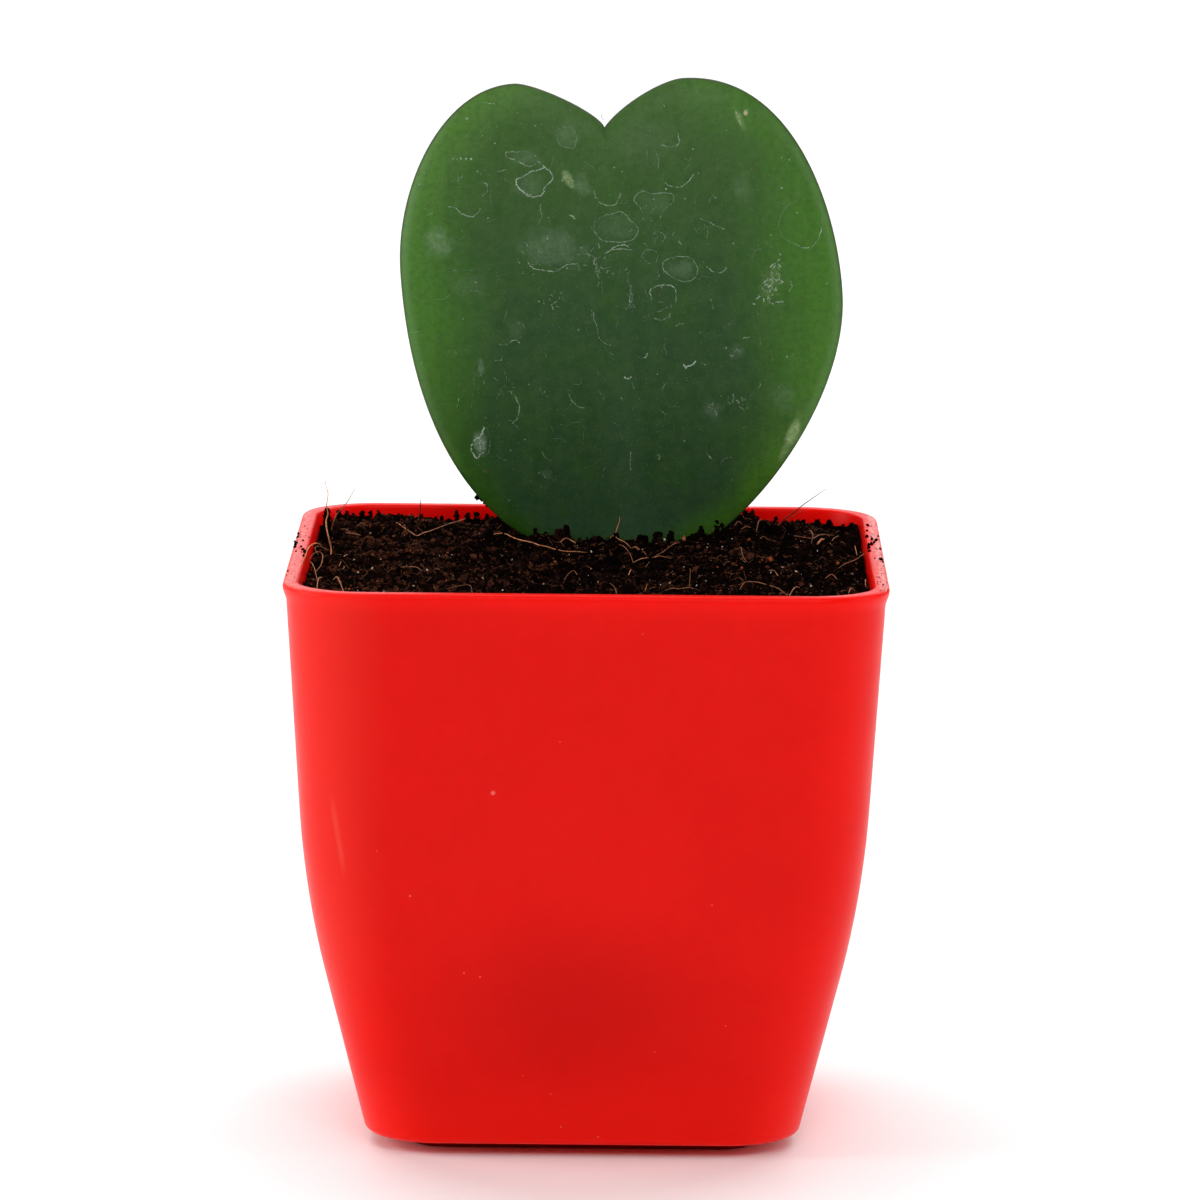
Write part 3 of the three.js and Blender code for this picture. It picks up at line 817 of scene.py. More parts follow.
def random_marks(rng):
    """(strength, width, route) of the strokes in their groups and of the scratches all over the face."""
    routes = []
    for x, y, radius_u, radius_v, tilt, count, strength in MARK_STROKES:
        u, v = leaf_spot(x, y)
        turn = np.array(Matrix.Rotation(math.radians(tilt), 2))
        for _ in range(count):
            middle = turn @ (rng.normal(0, 0.5, 2) * (radius_u, radius_v)) + (u, v)
            heading = rng.normal(math.pi / 2, 0.7)
            half = rng.uniform(0.15, 0.5) * np.array((math.cos(heading), math.sin(heading)))
            bow = rng.normal(0, 0.08, 2)
            route = [middle - half, middle + bow, middle + half]
            routes.append((strength * rng.uniform(0.4, 1.2), rng.uniform(0.1, 0.22), route))
    for _ in range(SCRATCH_COUNT):
        away, bearing = 38 * rng.random() ** 0.6, rng.uniform(0, 2 * math.pi)
        middle = np.array((0.82 * away * math.cos(bearing), 46 + 0.88 * away * math.sin(bearing)))
        heading, half = rng.uniform(0, math.pi), rng.uniform(0.15, 1.6)
        along = half * np.array((math.cos(heading), math.sin(heading)))
        bow = rng.normal(0, 0.25) * np.array((-along[1], along[0]))
        strength, width = rng.uniform(0.05, 0.24), rng.uniform(0.07, 0.14)
        routes.append((strength, width, [middle - along, middle + bow, middle + along]))
    return routes


def make_marks(material):
    """All raised marks in one mesh on the front face, in the leaf's own wax with a paler film."""
    rng = np.random.default_rng(MARK_SEED)
    reach = outline_reach()
    points, faces, margins, strengths = [], [], [], []
    for strength, width, route in known_marks() + random_marks(rng):
        ridge, ridge_faces = ribbon(rng, route, width)
        start = len(points)
        faces += shifted(ridge_faces, start)
        for u, v, rise, share in ridge:
            depth, margin = front_face(u, v, reach)
            points.append((u, depth - rise, v))
            margins.append(margin)
            strengths.append(strength * share)
    marks = make_leaf_piece("leaf_marks", points, faces, material, 1.0, margins)
    store(marks, "mark", "FLOAT", strengths)
    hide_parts("leaf")


def oval_mask(s, place, x, y, radii, tilt, wave=0.0):
    """1 in the middle of a tilted oval around the pixel's point, falling softly to 0 at its edge."""
    u, v = leaf_spot(x, y)
    turn = s.node("ShaderNodeVectorRotate", {"Angle": math.radians(tilt)}, rotation_type="Z_AXIS")
    s.wire(turn.inputs["Vector"], s.vector("SUBTRACT", place, (u, v, 0)))
    away = s.vector("LENGTH", s.vector("DIVIDE", turn.outputs[0], (*radii, 1)))
    return s.ramp(s.math("ADD", away, wave), 0.35, 1.2, 1.0, 0.0)


def leaf_middle(s, v):
    """Dark green, lighter towards the top as painted light from above, and greyer at the foot."""
    middle = s.mix(s.ramp(v, 38.0, 84.0), colour(41, 74, 37), colour(59, 92, 41))
    middle = s.mix(s.ramp(v, 4.0, 30.0, 0.8, 0.0), middle, colour(45, 77, 52))
    return s.mix(s.ramp(v, 2.0, 13.0, 0.5, 0.0), middle, colour(66, 94, 72))


def margin_glow_colour(s, u, v):
    """Saturated yellow-green of the painted glow along the margin, darkest at the lower left."""
    high = s.mix(s.ramp(u, 0.0, 24.0), colour(76, 116, 48), colour(68, 110, 40))
    low = s.mix(s.ramp(u, -15.0, 15.0), colour(40, 84, 8), colour(70, 120, 28))
    side = s.mix(s.ramp(v, 46.0, 82.0), colour(65, 114, 31), high)
    return s.mix(s.ramp(v, 16.0, 48.0, 0.85, 0.0), side, low)


def painted_margin_glow(s, place, margin):
    """Painted light where the margin glows through and reflects: 1 at the margin, falling to 0 over a band
    that is narrow at the foot and gone at the notch.
    """
    u, v = s.split(place)[:2]
    drift = s.centred(s.noise(place, 16, 3), 9.0)
    width = s.times(s.ramp(v, 16.0, 50.0, 8.0, 24.0), s.ramp(u, -20.0, 20.0, 0.86, 1.0))
    width = s.times(width, s.ramp(v, 50.0, 80.0, 1.0, 0.42))
    edge = s.ramp(s.math("DIVIDE", s.math("ADD", margin, drift), width), 0.1, 1.0, 1.0, 0.0)
    off_notch = s.ramp(s.absolute(s.math("SUBTRACT", u, 1.0)), 3.0, 20.0)
    return s.times(edge, s.larger(off_notch, s.ramp(v, 58.0, 72.0, 1.0, 0.2)))


def leaf_body(s, place, margin):
    """Dark green with a painted yellow-green glow of light along the margin, a painted sheen and a painted
    shade line at its very edge, and faint clouds, blotches and streaks.
    """
    u, v = s.split(place)[:2]
    # edge is the painted glow of light along the margin.
    edge = painted_margin_glow(s, place, margin)
    warmer = s.ramp(s.noise(s.vector("ADD", place, (40, 0, 0)), 7, 3), 0.48, 0.68, 0.0, 0.45)
    midrib = s.times(s.ramp(s.absolute(u), 0.0, 5.0, 1.0, 0.0), s.ramp(v, 12.0, 50.0, 0.4, 0.0))
    cloudy = s.ramp(s.noise(place, 2.6, 4, 0.6), 0.3, 0.7, 0.0, 0.2)
    blotches = s.ramp(s.noise(s.vector("ADD", place, (0, 70, 0)), 1.1, 4, 0.65), 0.4, 0.68, 0.0, 0.26)
    streaks = s.ramp(s.noise(s.stretched(place, 1, 0.14, 1), 2.2, 3), 0.45, 0.7, 0.0, 0.14)
    sheen = s.times(s.ramp(margin, 0.3, 0.9), s.ramp(margin, 0.9, 2.2, 1.0, 0.0))
    sheen = s.times(sheen, s.ramp(s.absolute(u), 24.0, 34.0, 0.0, 0.14))
    # Painted shade: a thin dark line along the rounded margin.
    rim = s.ramp(margin, 0.05, 0.5, 0.8, 0.0)
    body = s.mix(edge, leaf_middle(s, v), margin_glow_colour(s, u, v))
    for amount, tone in [
            (warmer, s.mix(edge, colour(46, 84, 27), colour(64, 114, 24))), (midrib, colour(60, 90, 64)),
            (cloudy, colour(84, 112, 62)), (blotches, colour(30, 62, 24)), (streaks, colour(32, 62, 30)),
            (sheen, colour(120, 150, 110)), (rim, colour(50, 58, 30))]:
        body = s.mix(amount, body, tone)
    return body


def leaf_film(s, place, front):
    """How thick the pale, the beige and the green film of marks, hazes and dust lies at each point."""
    wave = s.centred(s.noise(place, 2.4, 3), 1.4)
    films = [0.0, 0.0, 0.0]
    for x, y, radius_u, radius_v, tilt, strength, film in MARK_HAZES:
        oval = s.times(oval_mask(s, place, x, y, (radius_u, radius_v), tilt, wave), strength)
        films[film] = s.larger(films[film], oval)
    uneven = s.ramp(s.noise(place, 0.9, 4, 0.7), 0.3, 0.7, 0.35, 1.25)
    lines = s.times(s.attribute("mark"), s.ramp(s.noise(place, 0.5, 3, 0.7), 0.36, 0.62, 0.4, 1.5))
    dots = s.larger(speck_mask(s, place, 1.3, 0.12, 0.84), speck_mask(s, place, 3.7, 0.06, 0.75))
    dust = s.larger(s.ramp(s.noise(place, 0.36, 3, 0.6), 0.6, 0.76, 0.0, 0.24), s.times(dots, 0.36))
    pale, beige, green = (s.times(film, uneven) for film in films)
    pale = s.math("MAXIMUM", lines, s.math("ADD", dust, pale), clamp=True)
    facing = s.ramp(front, 0.6, 0.95)
    return [s.times(film, facing) for film in (pale, beige, green)]


def waxy_leaf():
    """Thick waxy leaf, with dried water marks and dust on its front face."""
    s = Shader("waxy_leaf")
    place = s.attribute("leaf_place", "Vector")
    front = s.attribute("front")
    body = leaf_body(s, place, s.attribute("margin"))
    tones = [colour(170, 192, 168), colour(196, 184, 150), colour(150, 176, 118)]
    for film, tone in zip(leaf_film(s, place, front), tones):
        body = s.mix(film, body, tone)
    for x, y, radius_u, radius_v in MARK_TICKS:
        tick = oval_mask(s, place, x, y, (radius_u, radius_v), MARK_TICK_TILT)
        body = s.mix(s.times(tick, s.times(front, 0.6)), body, colour(104, 72, 34))
    s.set(
        Base_Color=body,
        Roughness=s.ramp(s.noise(place, 6, 4), 0.3, 0.7, 0.38, 0.5),
        Normal=s.bump(s.noise(place, 0.7, 3), 0.08, 0.1),
        Specular_IOR_Level=0.15,
        Subsurface_Weight=0.15,
        Subsurface_Radius=(0.4, 1.0, 0.2),
        Subsurface_Scale=1.2 * MM,
    )
    return s.material


# ---- Potting mix ----

CLODS = [(1.1, 1.3, 4.4, 3), (0.5, 7.7, 1.1, 2)] # height, noise layer, width and octaves of the mix's lumps
CLOD_SINK, CLOD_LIMIT = 0.5, 1.1
# Share of the crumbs up to which each range of tints holds, the range, and whether it follows the patches.
TINT_RANGES = [(0.66, 0.0, 0.42, 1), (0.94, 0.36, 0.66, 1), (0.975, 0.66, 0.84, 0), (0.992, 0.5, 0.7, 0),
               (1.0, 0.92, 1.0, 0)]
LARGE_CRUMB, LARGE_CRUMB_TINT = 0.25, 0.62 # crumbs over this radius, in millimetres, are never pale
# Radii in millimetres, how strongly they tend to the small ones, and how far they sink or lie above the mix.
FINE_CRUMBS = {"count": 13000, "least": 0.12, "most": 0.4, "power": 1.4, "sink": 0.2, "lift": 0.42}
COARSE_CRUMBS = {"count": 1000, "least": 0.42, "most": 1.05, "power": 1.8, "sink": 0.55, "lift": 0.2}
HEAP_COUNT, HEAP_SINK, HEAP_CRUMBS = 260, 0.6, (0.2, 0.52)
BIT_LIFT = 0.5
GLINT_COUNT = 300 # tiny pale grains, which also paint the glints of wet crumbs


def mix_top(x, y):
    z = MIX_LEVEL
    for height, along_x, along_y, start in MIX_WAVES:
        z += height * math.sin(along_x * x + along_y * y + start)
    for hx, hy, rise, spread in MIX_HEAPS:
        away = math.hypot(x - hx, y - hy) / spread
        z += rise * math.exp(-away * away)
    return z


def mix_surface(x, y):
    """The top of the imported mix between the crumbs: lumpy, with dark pits."""
    clods = sum(height * fractal(x, y, layer, width, octaves) for height, layer, width, octaves in CLODS)
    return mix_top(x, y) - CLOD_SINK + min(clods, CLOD_LIMIT)


def inner_half_width(z):
    return outer_half_width(z) - WALL - MIX_CLEARANCE


def make_mix_body(material, side_rings=24, top_rings=130, steps=(16, 60)):
    gap = WALL + MIX_CLEARANCE
    edge = inner_half_width(MIX_LEVEL)
    corner = outer_corner_radius(MIX_LEVEL) - gap
    rings = []
    for z in np.linspace(FLOOR_TOP + MIX_CLEARANCE, MIX_LEVEL - 3, side_rings):
        rings.append(square_ring(inner_half_width(z), outer_corner_radius(z) - gap, z, *steps))
    for i in range(top_rings):
        s = 1 - i / top_rings
        outline = square_ring(edge * s, corner * s, 0, *steps)
        rings.append([(x, y, mix_surface(x, y)) for x, y, _ in outline])
    points, faces = loft(rings, (0, 0, FLOOR_TOP + MIX_CLEARANCE), (0, 0, mix_surface(0, 0)))
    body = make_piece("mix_body", points, faces, material)
    store(body, "tint", "FLOAT", [0.12 + 0.2 * fractal(*p, 1.4, 3) for p in points])
    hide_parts("potting_mix")


def icosphere(level):
    """Vertices and triangles of a unit icosphere."""
    golden = (1 + math.sqrt(5)) / 2
    points = [Vector(np.roll((short, long, 0), turn)).normalized()
              for turn in range(3) for long in (golden, -golden) for short in (-1, 1)]
    faces = [(0, 11, 5), (0, 5, 1), (0, 1, 7), (0, 7, 10), (0, 10, 11), (1, 5, 9), (5, 11, 4), (11, 10, 2),
             (10, 7, 6), (7, 1, 8), (3, 9, 4), (3, 4, 2), (3, 2, 6), (3, 6, 8), (3, 8, 9), (4, 9, 5),
             (2, 4, 11), (6, 2, 10), (8, 6, 7), (9, 8, 1)]
    for _ in range(level):
        middles = {}

        def middle(a, b):
            key = (min(a, b), max(a, b))
            if key not in middles:
                middles[key] = len(points)
                points.append((points[a] + points[b]).normalized())
            return middles[key]

        finer = []
        for a, b, c in faces:
            ab, bc, ca = middle(a, b), middle(b, c), middle(c, a)
            finer += [(a, ab, ca), (b, bc, ab), (c, ca, bc), (ab, bc, ca)]
        faces = finer
    return np.array(points), np.array(faces)


def random_turns(rng, count):
    """Random rotation matrices."""
    q = rng.normal(size=(count, 4))
    q /= np.linalg.norm(q, axis=1, keepdims=True)
    w, x, y, z = q.T
    return np.stack([
        np.stack([1 - 2 * (y * y + z * z), 2 * (x * y - z * w), 2 * (x * z + y * w)], -1),
        np.stack([2 * (x * y + z * w), 1 - 2 * (x * x + z * z), 2 * (y * z - x * w)], -1),
        np.stack([2 * (x * z - y * w), 2 * (y * z + x * w), 1 - 2 * (x * x + y * y)], -1),
    ], 1)


class Crumbs:
    """Centres, radii and tints of many crumbs, gathered before they become one mesh."""

    def __init__(self):
        self.centres, self.radii, self.tints = [], [], []

    def add(self, centre, radius, tint):
        self.centres.append(tuple(centre))
        self.radii.append(radius)
        self.tints.append(tint)

    def make(self, name, rng, level, roughness, material, slot="potting_mix"):
        """Each crumb is a dented ball with its own stretch, turn and tint."""
        base, triangles = icosphere(level)
        count, size = len(self.centres), len(base)
        dents = 1 + roughness * rng.uniform(-1, 1, (count, size, 1))
        stretch = rng.uniform(0.5, 1.35, (count, 1, 3))
        local = base[None] * dents * stretch * np.array(self.radii)[:, None, None]
        turned = np.einsum("nij,nkj->nki", random_turns(rng, count), local)
        points = (turned + np.array(self.centres)[:, None]).reshape(-1, 3)
        faces = (triangles[None] + size * np.arange(count)[:, None, None]).reshape(-1, 3)
        piece = make_piece(name, points, faces.tolist(), material, smooth=False)
        store(piece, "tint", "FLOAT", np.repeat(self.tints, size))
        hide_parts(slot)


def inside_square(x, y, half_width, corner):
    over_x = max(abs(x) - (half_width - corner), 0)
    over_y = max(abs(y) - (half_width - corner), 0)
    return math.hypot(over_x, over_y) < corner


def random_spot(rng, margin):
    """A random (x, y) on the mix, at least margin inside the pot's wall."""
    reach = inner_half_width(MIX_LEVEL) - margin
    while True:
        x, y = rng.uniform(-reach, reach, 2)
        if inside_square(x, y, reach, RIM_CORNER - WALL - margin):
            return x, y


def random_tint(rng, x, y):
    """Mostly dark brown to near black, some reddish, a few pale, and browner in patches and on the left."""
    patch = 0.12 * fractal(x, y, 5.1, 11, 2) + 0.15 - 0.24 * clamp((x + 26) / 16)
    roll = rng.random()
    for share, low, high, patchy in TINT_RANGES:
        if roll < share:
            return rng.uniform(low, high) + patchy * patch


def scatter(rng, count, least, most, power, sink, lift):
    """Crumbs all over the lumpy top of the mix."""
    crumbs = Crumbs()
    for _ in range(count):
        radius = least + (most - least) * rng.random() ** power
        x, y = random_spot(rng, radius)
        tint = random_tint(rng, x, y)
        if radius > LARGE_CRUMB:
            tint = min(tint, LARGE_CRUMB_TINT)
        crumbs.add((x, y, mix_surface(x, y) + rng.uniform(-sink, lift)), radius, tint)
    return crumbs


def add_heap(crumbs, rng, x, y, foot, top, width):
    """A ragged heap of crumbs that narrows from foot up to top, within width of its middle line."""
    tint = rng.uniform(0.0, 0.3)
    for _ in range(int(8 + 22 * width * (top - foot + 0.4))):
        share = rng.random()
        angle, away = rng.uniform(0, 2 * math.pi), 0.9 * width * rng.random() ** 0.6 * (1 - 0.62 * share)
        radius = rng.uniform(*HEAP_CRUMBS) * (1 - 0.4 * share)
        height = foot + share * (top - foot) - radius
        centre = (x + away * math.cos(angle), y + 0.6 * away * math.sin(angle), height)
        crumbs.add(centre, radius, tint + rng.uniform(0.0, 0.25))


# Heaps that stand out against the wall or the leaf: the pixel of their top, their y, and their half width.
HEAP_PIXELS = [
    (327, 507, 44.2, 1.2), (339, 509.5, 44.4, 0.9), (347, 510, 44.2, 0.8), (353, 512, 44.2, 0.7),
    (379, 509, 44.4, 0.6), (389, 513, 44, 1.0), (408, 515, 44, 1.0), (421, 513.5, 44, 0.7),
    (430, 516, 44, 0.8), (441.5, 514.5, 44, 0.6), (456.5, 510, 44, 0.9), (468, 512, 43.5, 1.0),
    (477, 511, 43, 1.1), (487, 513, 42, 1.0), (505, 523, 20.6, 0.6), (512.5, 526, 20.6, 0.6),
    (535.5, 527, 20.6, 0.6), (566, 524, 20.4, 1.1), (580, 537, 20.4, 0.6), (616, 532, 20.2, 1.1),
    (640, 534, 20.2, 0.9), (660, 531, 20.3, 0.9), (671, 530, 20.2, 1.0), (701, 525, 20.3, 0.8),
    (717, 519.5, 20.3, 0.6), (722.5, 522, 20.3, 0.6), (734.5, 525, 20.5, 0.9), (745, 521, 42, 0.9),
    (752, 518, 43, 1.1), (757, 516, 43.5, 0.8), (776, 515.5, 44.3, 0.7), (788, 523, 44, 1.0),
    (814, 524, 44, 1.0), (829, 519.5, 44, 1.1), (843, 523, 43.5, 0.9), (854, 522, 43, 1.0),
]
# Crumbs that cling to the leaf's lower left edge, and bright or reddish bits: pixel, radius and tint.
CLINGING_PIXELS = [(477, 497, 0.45, 0.1), (481, 499, 0.35, 0.1), (484, 503, 0.35, 0.5), (487, 506, 0.3, 0.1)]
BIT_PIXELS = [
    (717, 520, 0.4, 0.85), (714, 521.5, 0.29, 0.83), (700.5, 533.6, 0.32, 0.84), (684, 539, 0.34, 0.85),
    (748.6, 539.4, 0.32, 0.8), (742, 568, 0.32, 0.8), (771, 559.5, 0.4, 0.8), (768, 558.5, 0.29, 0.77),
    (762, 560, 0.32, 0.72), (837.6, 563.5, 0.32, 0.81), (822, 540, 0.32, 0.84), (434.3, 588, 0.27, 0.84),
    (669.5, 583, 0.21, 0.93), (642.6, 549.7, 0.17, 0.9), (614.4, 561.7, 0.15, 0.88),
    (380.7, 559.4, 0.17, 0.93), (413.9, 586, 0.2, 0.94), (817.5, 550.8, 0.18, 1.0),
    (796.3, 571.5, 0.17, 1.0), (851.9, 574.4, 0.17, 0.97), (370.5, 533, 0.18, 0.97),
    (372, 568.3, 0.18, 1.0), (357.8, 590.4, 0.15, 1.0), (383.8, 591.4, 0.13, 0.97),
    (476.4, 515.8, 0.14, 0.96), (451.7, 555, 0.14, 0.95), (511.9, 560, 0.14, 1.0), (501, 566.4, 0.13, 0.94),
    (547.4, 571, 0.15, 0.97), (543.3, 583.8, 0.14, 0.96), (502.6, 590.3, 0.17, 1.0),
    (591.5, 551.8, 0.14, 0.96), (590.9, 551, 0.1, 1.0), (598, 582, 0.18, 0.93), (664.7, 539.4, 0.17, 0.96),
    (732, 539, 0.17, 1.0), (708, 544, 0.13, 0.94), (722.3, 546.8, 0.11, 0.97), (683.9, 567, 0.14, 0.97),
    (706.3, 580.7, 0.15, 0.97), (660.4, 584.7, 0.13, 1.0), (696.5, 585.3, 0.13, 1.0), (713, 573, 0.1, 0.96),
    (800.8, 541, 0.1, 0.96), (860.5, 552.6, 0.11, 1.0),
]


def clear_depth(x, y, depth, width):
    """The nearest y, from depth forward, where a heap seen at a pixel is all inside the pot's wall."""
    reach, corner = inner_half_width(MIX_LEVEL) - width - 0.5, RIM_CORNER - WALL - width
    while not inside_square(seen_at_depth(x, y, depth).x, depth, reach, corner):
        depth -= 0.5
    return depth


def add_heaps(crumbs, rng):
    for x, y, depth, width in HEAP_PIXELS:
        depth = clear_depth(x, y, depth, width)
        top = seen_at_depth(x, y, depth)
        add_heap(crumbs, rng, top.x, depth, mix_top(top.x, depth) - HEAP_SINK, top.z, width)
    for _ in range(HEAP_COUNT):
        x, y = random_spot(rng, 2.5)
        foot = mix_top(x, y) - HEAP_SINK
        add_heap(crumbs, rng, x, y, foot, foot + rng.uniform(0.8, 2.1), rng.uniform(0.5, 1.3))


def make_crumbs(material):
    rng = np.random.default_rng(CRUMB_SEED)
    scatter(rng, **FINE_CRUMBS).make("crumbs_fine", rng, 0, 0.45, material)
    scatter(rng, **COARSE_CRUMBS).make("crumbs_coarse", rng, 1, 0.42, material)
    clumps = Crumbs()
    add_heaps(clumps, rng)
    for x, y, radius, tint in CLINGING_PIXELS:
        clumps.add(seen_at_depth(x, y, LEAF_FOOT.y), radius, tint)
    for x, y, radius, tint in BIT_PIXELS:
        place = lying_point(x, y, BIT_LIFT)
        clumps.add((place.x, place.y, min(place.z, mix_top(place.x, place.y) + BIT_LIFT)), radius, tint)
    # Painted glints: tiny pale grains that also stand in for the shine of wet crumbs.
    for _ in range(GLINT_COUNT):
        x, y = random_spot(rng, 1.0)
        place = (x, y, mix_surface(x, y) + rng.uniform(0.1, 0.45))
        clumps.add(place, rng.uniform(0.04, 0.08), rng.uniform(0.9, 1.0))
    clumps.make("crumb_clumps", rng, 0, 0.35, material)


def coir_mix():
    """Moist coir and peat: near black to brown by crumb, and matt."""
    s = Shader("coir_mix")
    at = s.place()
    grain = s.noise(at, 0.3, 4, 0.7)
    lumps = s.noise(at, 1.1, 3, 0.6)
    tone = s.math("ADD", s.attribute("tint"), s.centred(grain, 0.4))
    tone = s.math("ADD", tone, s.centred(lumps, 0.3))
    s.set(
        Base_Color=s.stops(tone, [
            (0.0, colour(7, 4, 3)), (0.3, colour(19, 11, 9)), (0.55, colour(54, 30, 22)),
            (0.72, colour(98, 54, 38)), (0.85, colour(176, 84, 40)), (0.93, colour(190, 156, 122)),
            (1.0, colour(228, 216, 200))]),
        Roughness=s.ramp(grain, 0.35, 0.65, 0.4, 0.9),
        Normal=s.bump(s.noise(at, 0.2, 3, 0.7), 0.9, 0.2),
        Specular_IOR_Level=0.0,
    )
    return s.material


# ---- Coir fibres ----

# Fibres that lie on the mix: thickness and lift in millimetres, tint, and the route in pixels.
LYING_FIBRES = [
    (0.17, 0.7, 0.65, [(391, 524), (394, 522.3), (398.6, 523.9), (403.7, 527.4), (409.8, 531.5),
        (416.9, 535.6), (423, 533), (430, 531), (436.5, 528.5), (449.5, 523.6), (457, 521.4), (467, 518.4),
        (473.4, 515.5)]),
    (0.22, 1.0, 0.9, [(483.7, 536.1), (490.7, 535), (499.4, 533.4), (505.9, 533.9), (512.4, 537.2),
        (520, 539.9), (527.6, 541.5), (534.1, 543.1), (539.5, 545.3), (546, 546.4), (554.7, 549.1),
        (565.5, 551.3), (576.4, 551.6), (587.2, 549.1)]),
    (0.13, 0.6, 0.1, [(484.2, 533.4), (494, 531.7), (503.7, 533.4), (511, 536)]),
    (0.25, 0.6, 0.85, [(560.1, 538.8), (566.6, 538.2), (575.8, 539.7)]),
    (0.11, 0.7, 0.5, [(563.9, 576.7), (568.5, 573.8), (574.2, 570.8), (580.2, 576.7)]),
    (0.18, 0.7, 0.75, [(608.7, 535.3), (613.3, 535.9), (619, 539.4), (625.9, 542.8), (632, 546)]),
    (0.5, 0.5, 0.3, [(631.5, 545.7), (636, 547.4), (642.5, 549.8)]),
    (0.15, 0.6, 0.35, [(641, 549), (644.5, 552.3), (648, 556)]),
    (0.13, 0.7, 0.6, [(617.9, 541.1), (623.6, 546.3), (629.4, 553.1), (633.4, 558.9)]),
    (0.17, 0.8, 0.7, [(633.4, 558.9), (642, 558.6), (653.5, 557.5), (660.4, 556), (671.8, 555.4)]),
    (0.14, 0.8, 0.55, [(645.4, 563.5), (653.5, 557.7), (662.7, 552), (667.2, 548.5), (675.3, 543.4),
        (680.4, 539.4)]),
    (0.15, 0.6, 0.8, [(627.1, 575.5), (630.5, 570.4), (632.8, 567.5)]),
    (0.13, 0.6, 0.3, [(689.6, 564.6), (690.2, 570.4), (690, 577.2), (689.1, 585.3)]),
    (0.13, 0.6, 0.5, [(665, 587), (672, 588.3), (679.9, 588.7), (689.1, 587.6), (700.5, 587)]),
    (0.15, 0.7, 0.5, [(739.6, 585.9), (744, 583.2), (748.8, 581.5), (758.4, 582.4), (768.7, 585.3),
        (777.9, 588.3), (785.9, 590.6)]),
    (0.18, 0.6, 0.3, [(736.1, 546.2), (740.7, 547.4), (741.9, 552), (743.6, 557.7), (748.8, 560)]),
    (0.21, 0.6, 0.35, [(741, 525.6), (748, 526.6), (755.6, 527.9)]),
    (0.22, 0.6, 0.25, [(733.8, 523.3), (738, 521.6), (742.5, 521)]),
    (0.15, 0.6, 0.45, [(807.2, 524.4), (811.2, 531.3), (812.9, 535.9), (811.2, 540.5)]),
    (0.22, 0.6, 0.3, [(794, 532.5), (798.5, 536.5), (805.4, 537.6), (813.5, 538.2), (820.4, 534.8),
        (834.1, 531.9)]),
    (0.45, 0.4, 0.7, [(816.9, 541.1), (822, 539.6), (827.2, 537.6)]),
    (0.14, 0.6, 0.5, [(838.7, 532.5), (834.1, 538.2), (829.5, 541.7)]),
    (0.18, 0.9, 0.7, [(855.9, 527.9), (853.7, 535.9), (854.8, 545.1), (857.1, 552)]),
    (0.13, 0.8, 0.55, [(865.1, 549.7), (861.7, 555.4), (854.8, 560), (845.6, 563.5), (838.7, 564.6)]),
    (0.15, 0.6, 0.6, [(767.6, 566.9), (774.4, 570.9), (779.6, 575)]),
    (0.15, 0.6, 0.6, [(825, 575), (831.8, 574.4), (837.6, 576.1)]),
    (0.18, 1.6, 0.7, [(799.7, 584.1), (796, 587), (792.8, 589.9), (788.8, 593.4)]),
    (0.15, 1.0, 0.8, [(866.9, 577.8), (865.4, 580), (865.7, 583.6)]),
    (0.22, 0.6, 0.5, [(848.5, 589.9), (851, 588.4), (854.8, 587.6)]),
    (0.15, 0.6, 0.3, [(756, 530), (758.5, 522), (760.7, 516.4)]),
    (0.14, 1.0, 0.7, [(309.3, 555.5), (313.9, 553.5), (319, 551.9), (322.6, 555), (322, 561.6),
        (320, 566.7), (314.9, 568.8)]),
    (0.14, 1.0, 0.65, [(309.3, 558.1), (312.3, 563.7), (314.9, 569.8), (317.4, 576.9)]),
    (0.18, 0.8, 0.35, [(328.7, 546.3), (319, 546.3), (314.9, 548.4), (318, 551.4)]),
    (0.17, 1.2, 0.6, [(322.6, 573.9), (319, 578), (317.4, 584.1), (317.1, 589.7), (317.4, 594)]),
    (0.18, 1.2, 0.65, [(333.3, 575.9), (336.8, 576.9), (340.4, 583.1), (345, 592.2)]),
    (0.18, 0.9, 0.75, [(347.6, 550.9), (343.5, 557), (338.9, 562.7)]),
    (0.13, 0.6, 0.55, [(345, 562.7), (341.9, 566.7)]),
    (0.45, 0.25, 0.4, [(335.3, 534.1), (347, 533.2), (360.8, 532.6)]),
    (0.25, 0.6, 0.25, [(336, 530), (344, 529.3), (351.6, 529)]),
    (0.21, 0.6, 0.3, [(356.7, 523.4), (362, 523), (368, 522.9)]),
    (0.14, 0.6, 0.45, [(385.3, 569.8), (392.4, 568.8), (400.6, 567.2), (409.8, 566.7), (418, 567.8),
        (424.1, 570.3)]),
    (0.12, 0.6, 0.3, [(446.3, 585.4), (458, 586), (470, 585.4), (472.3, 590.8)]),
]
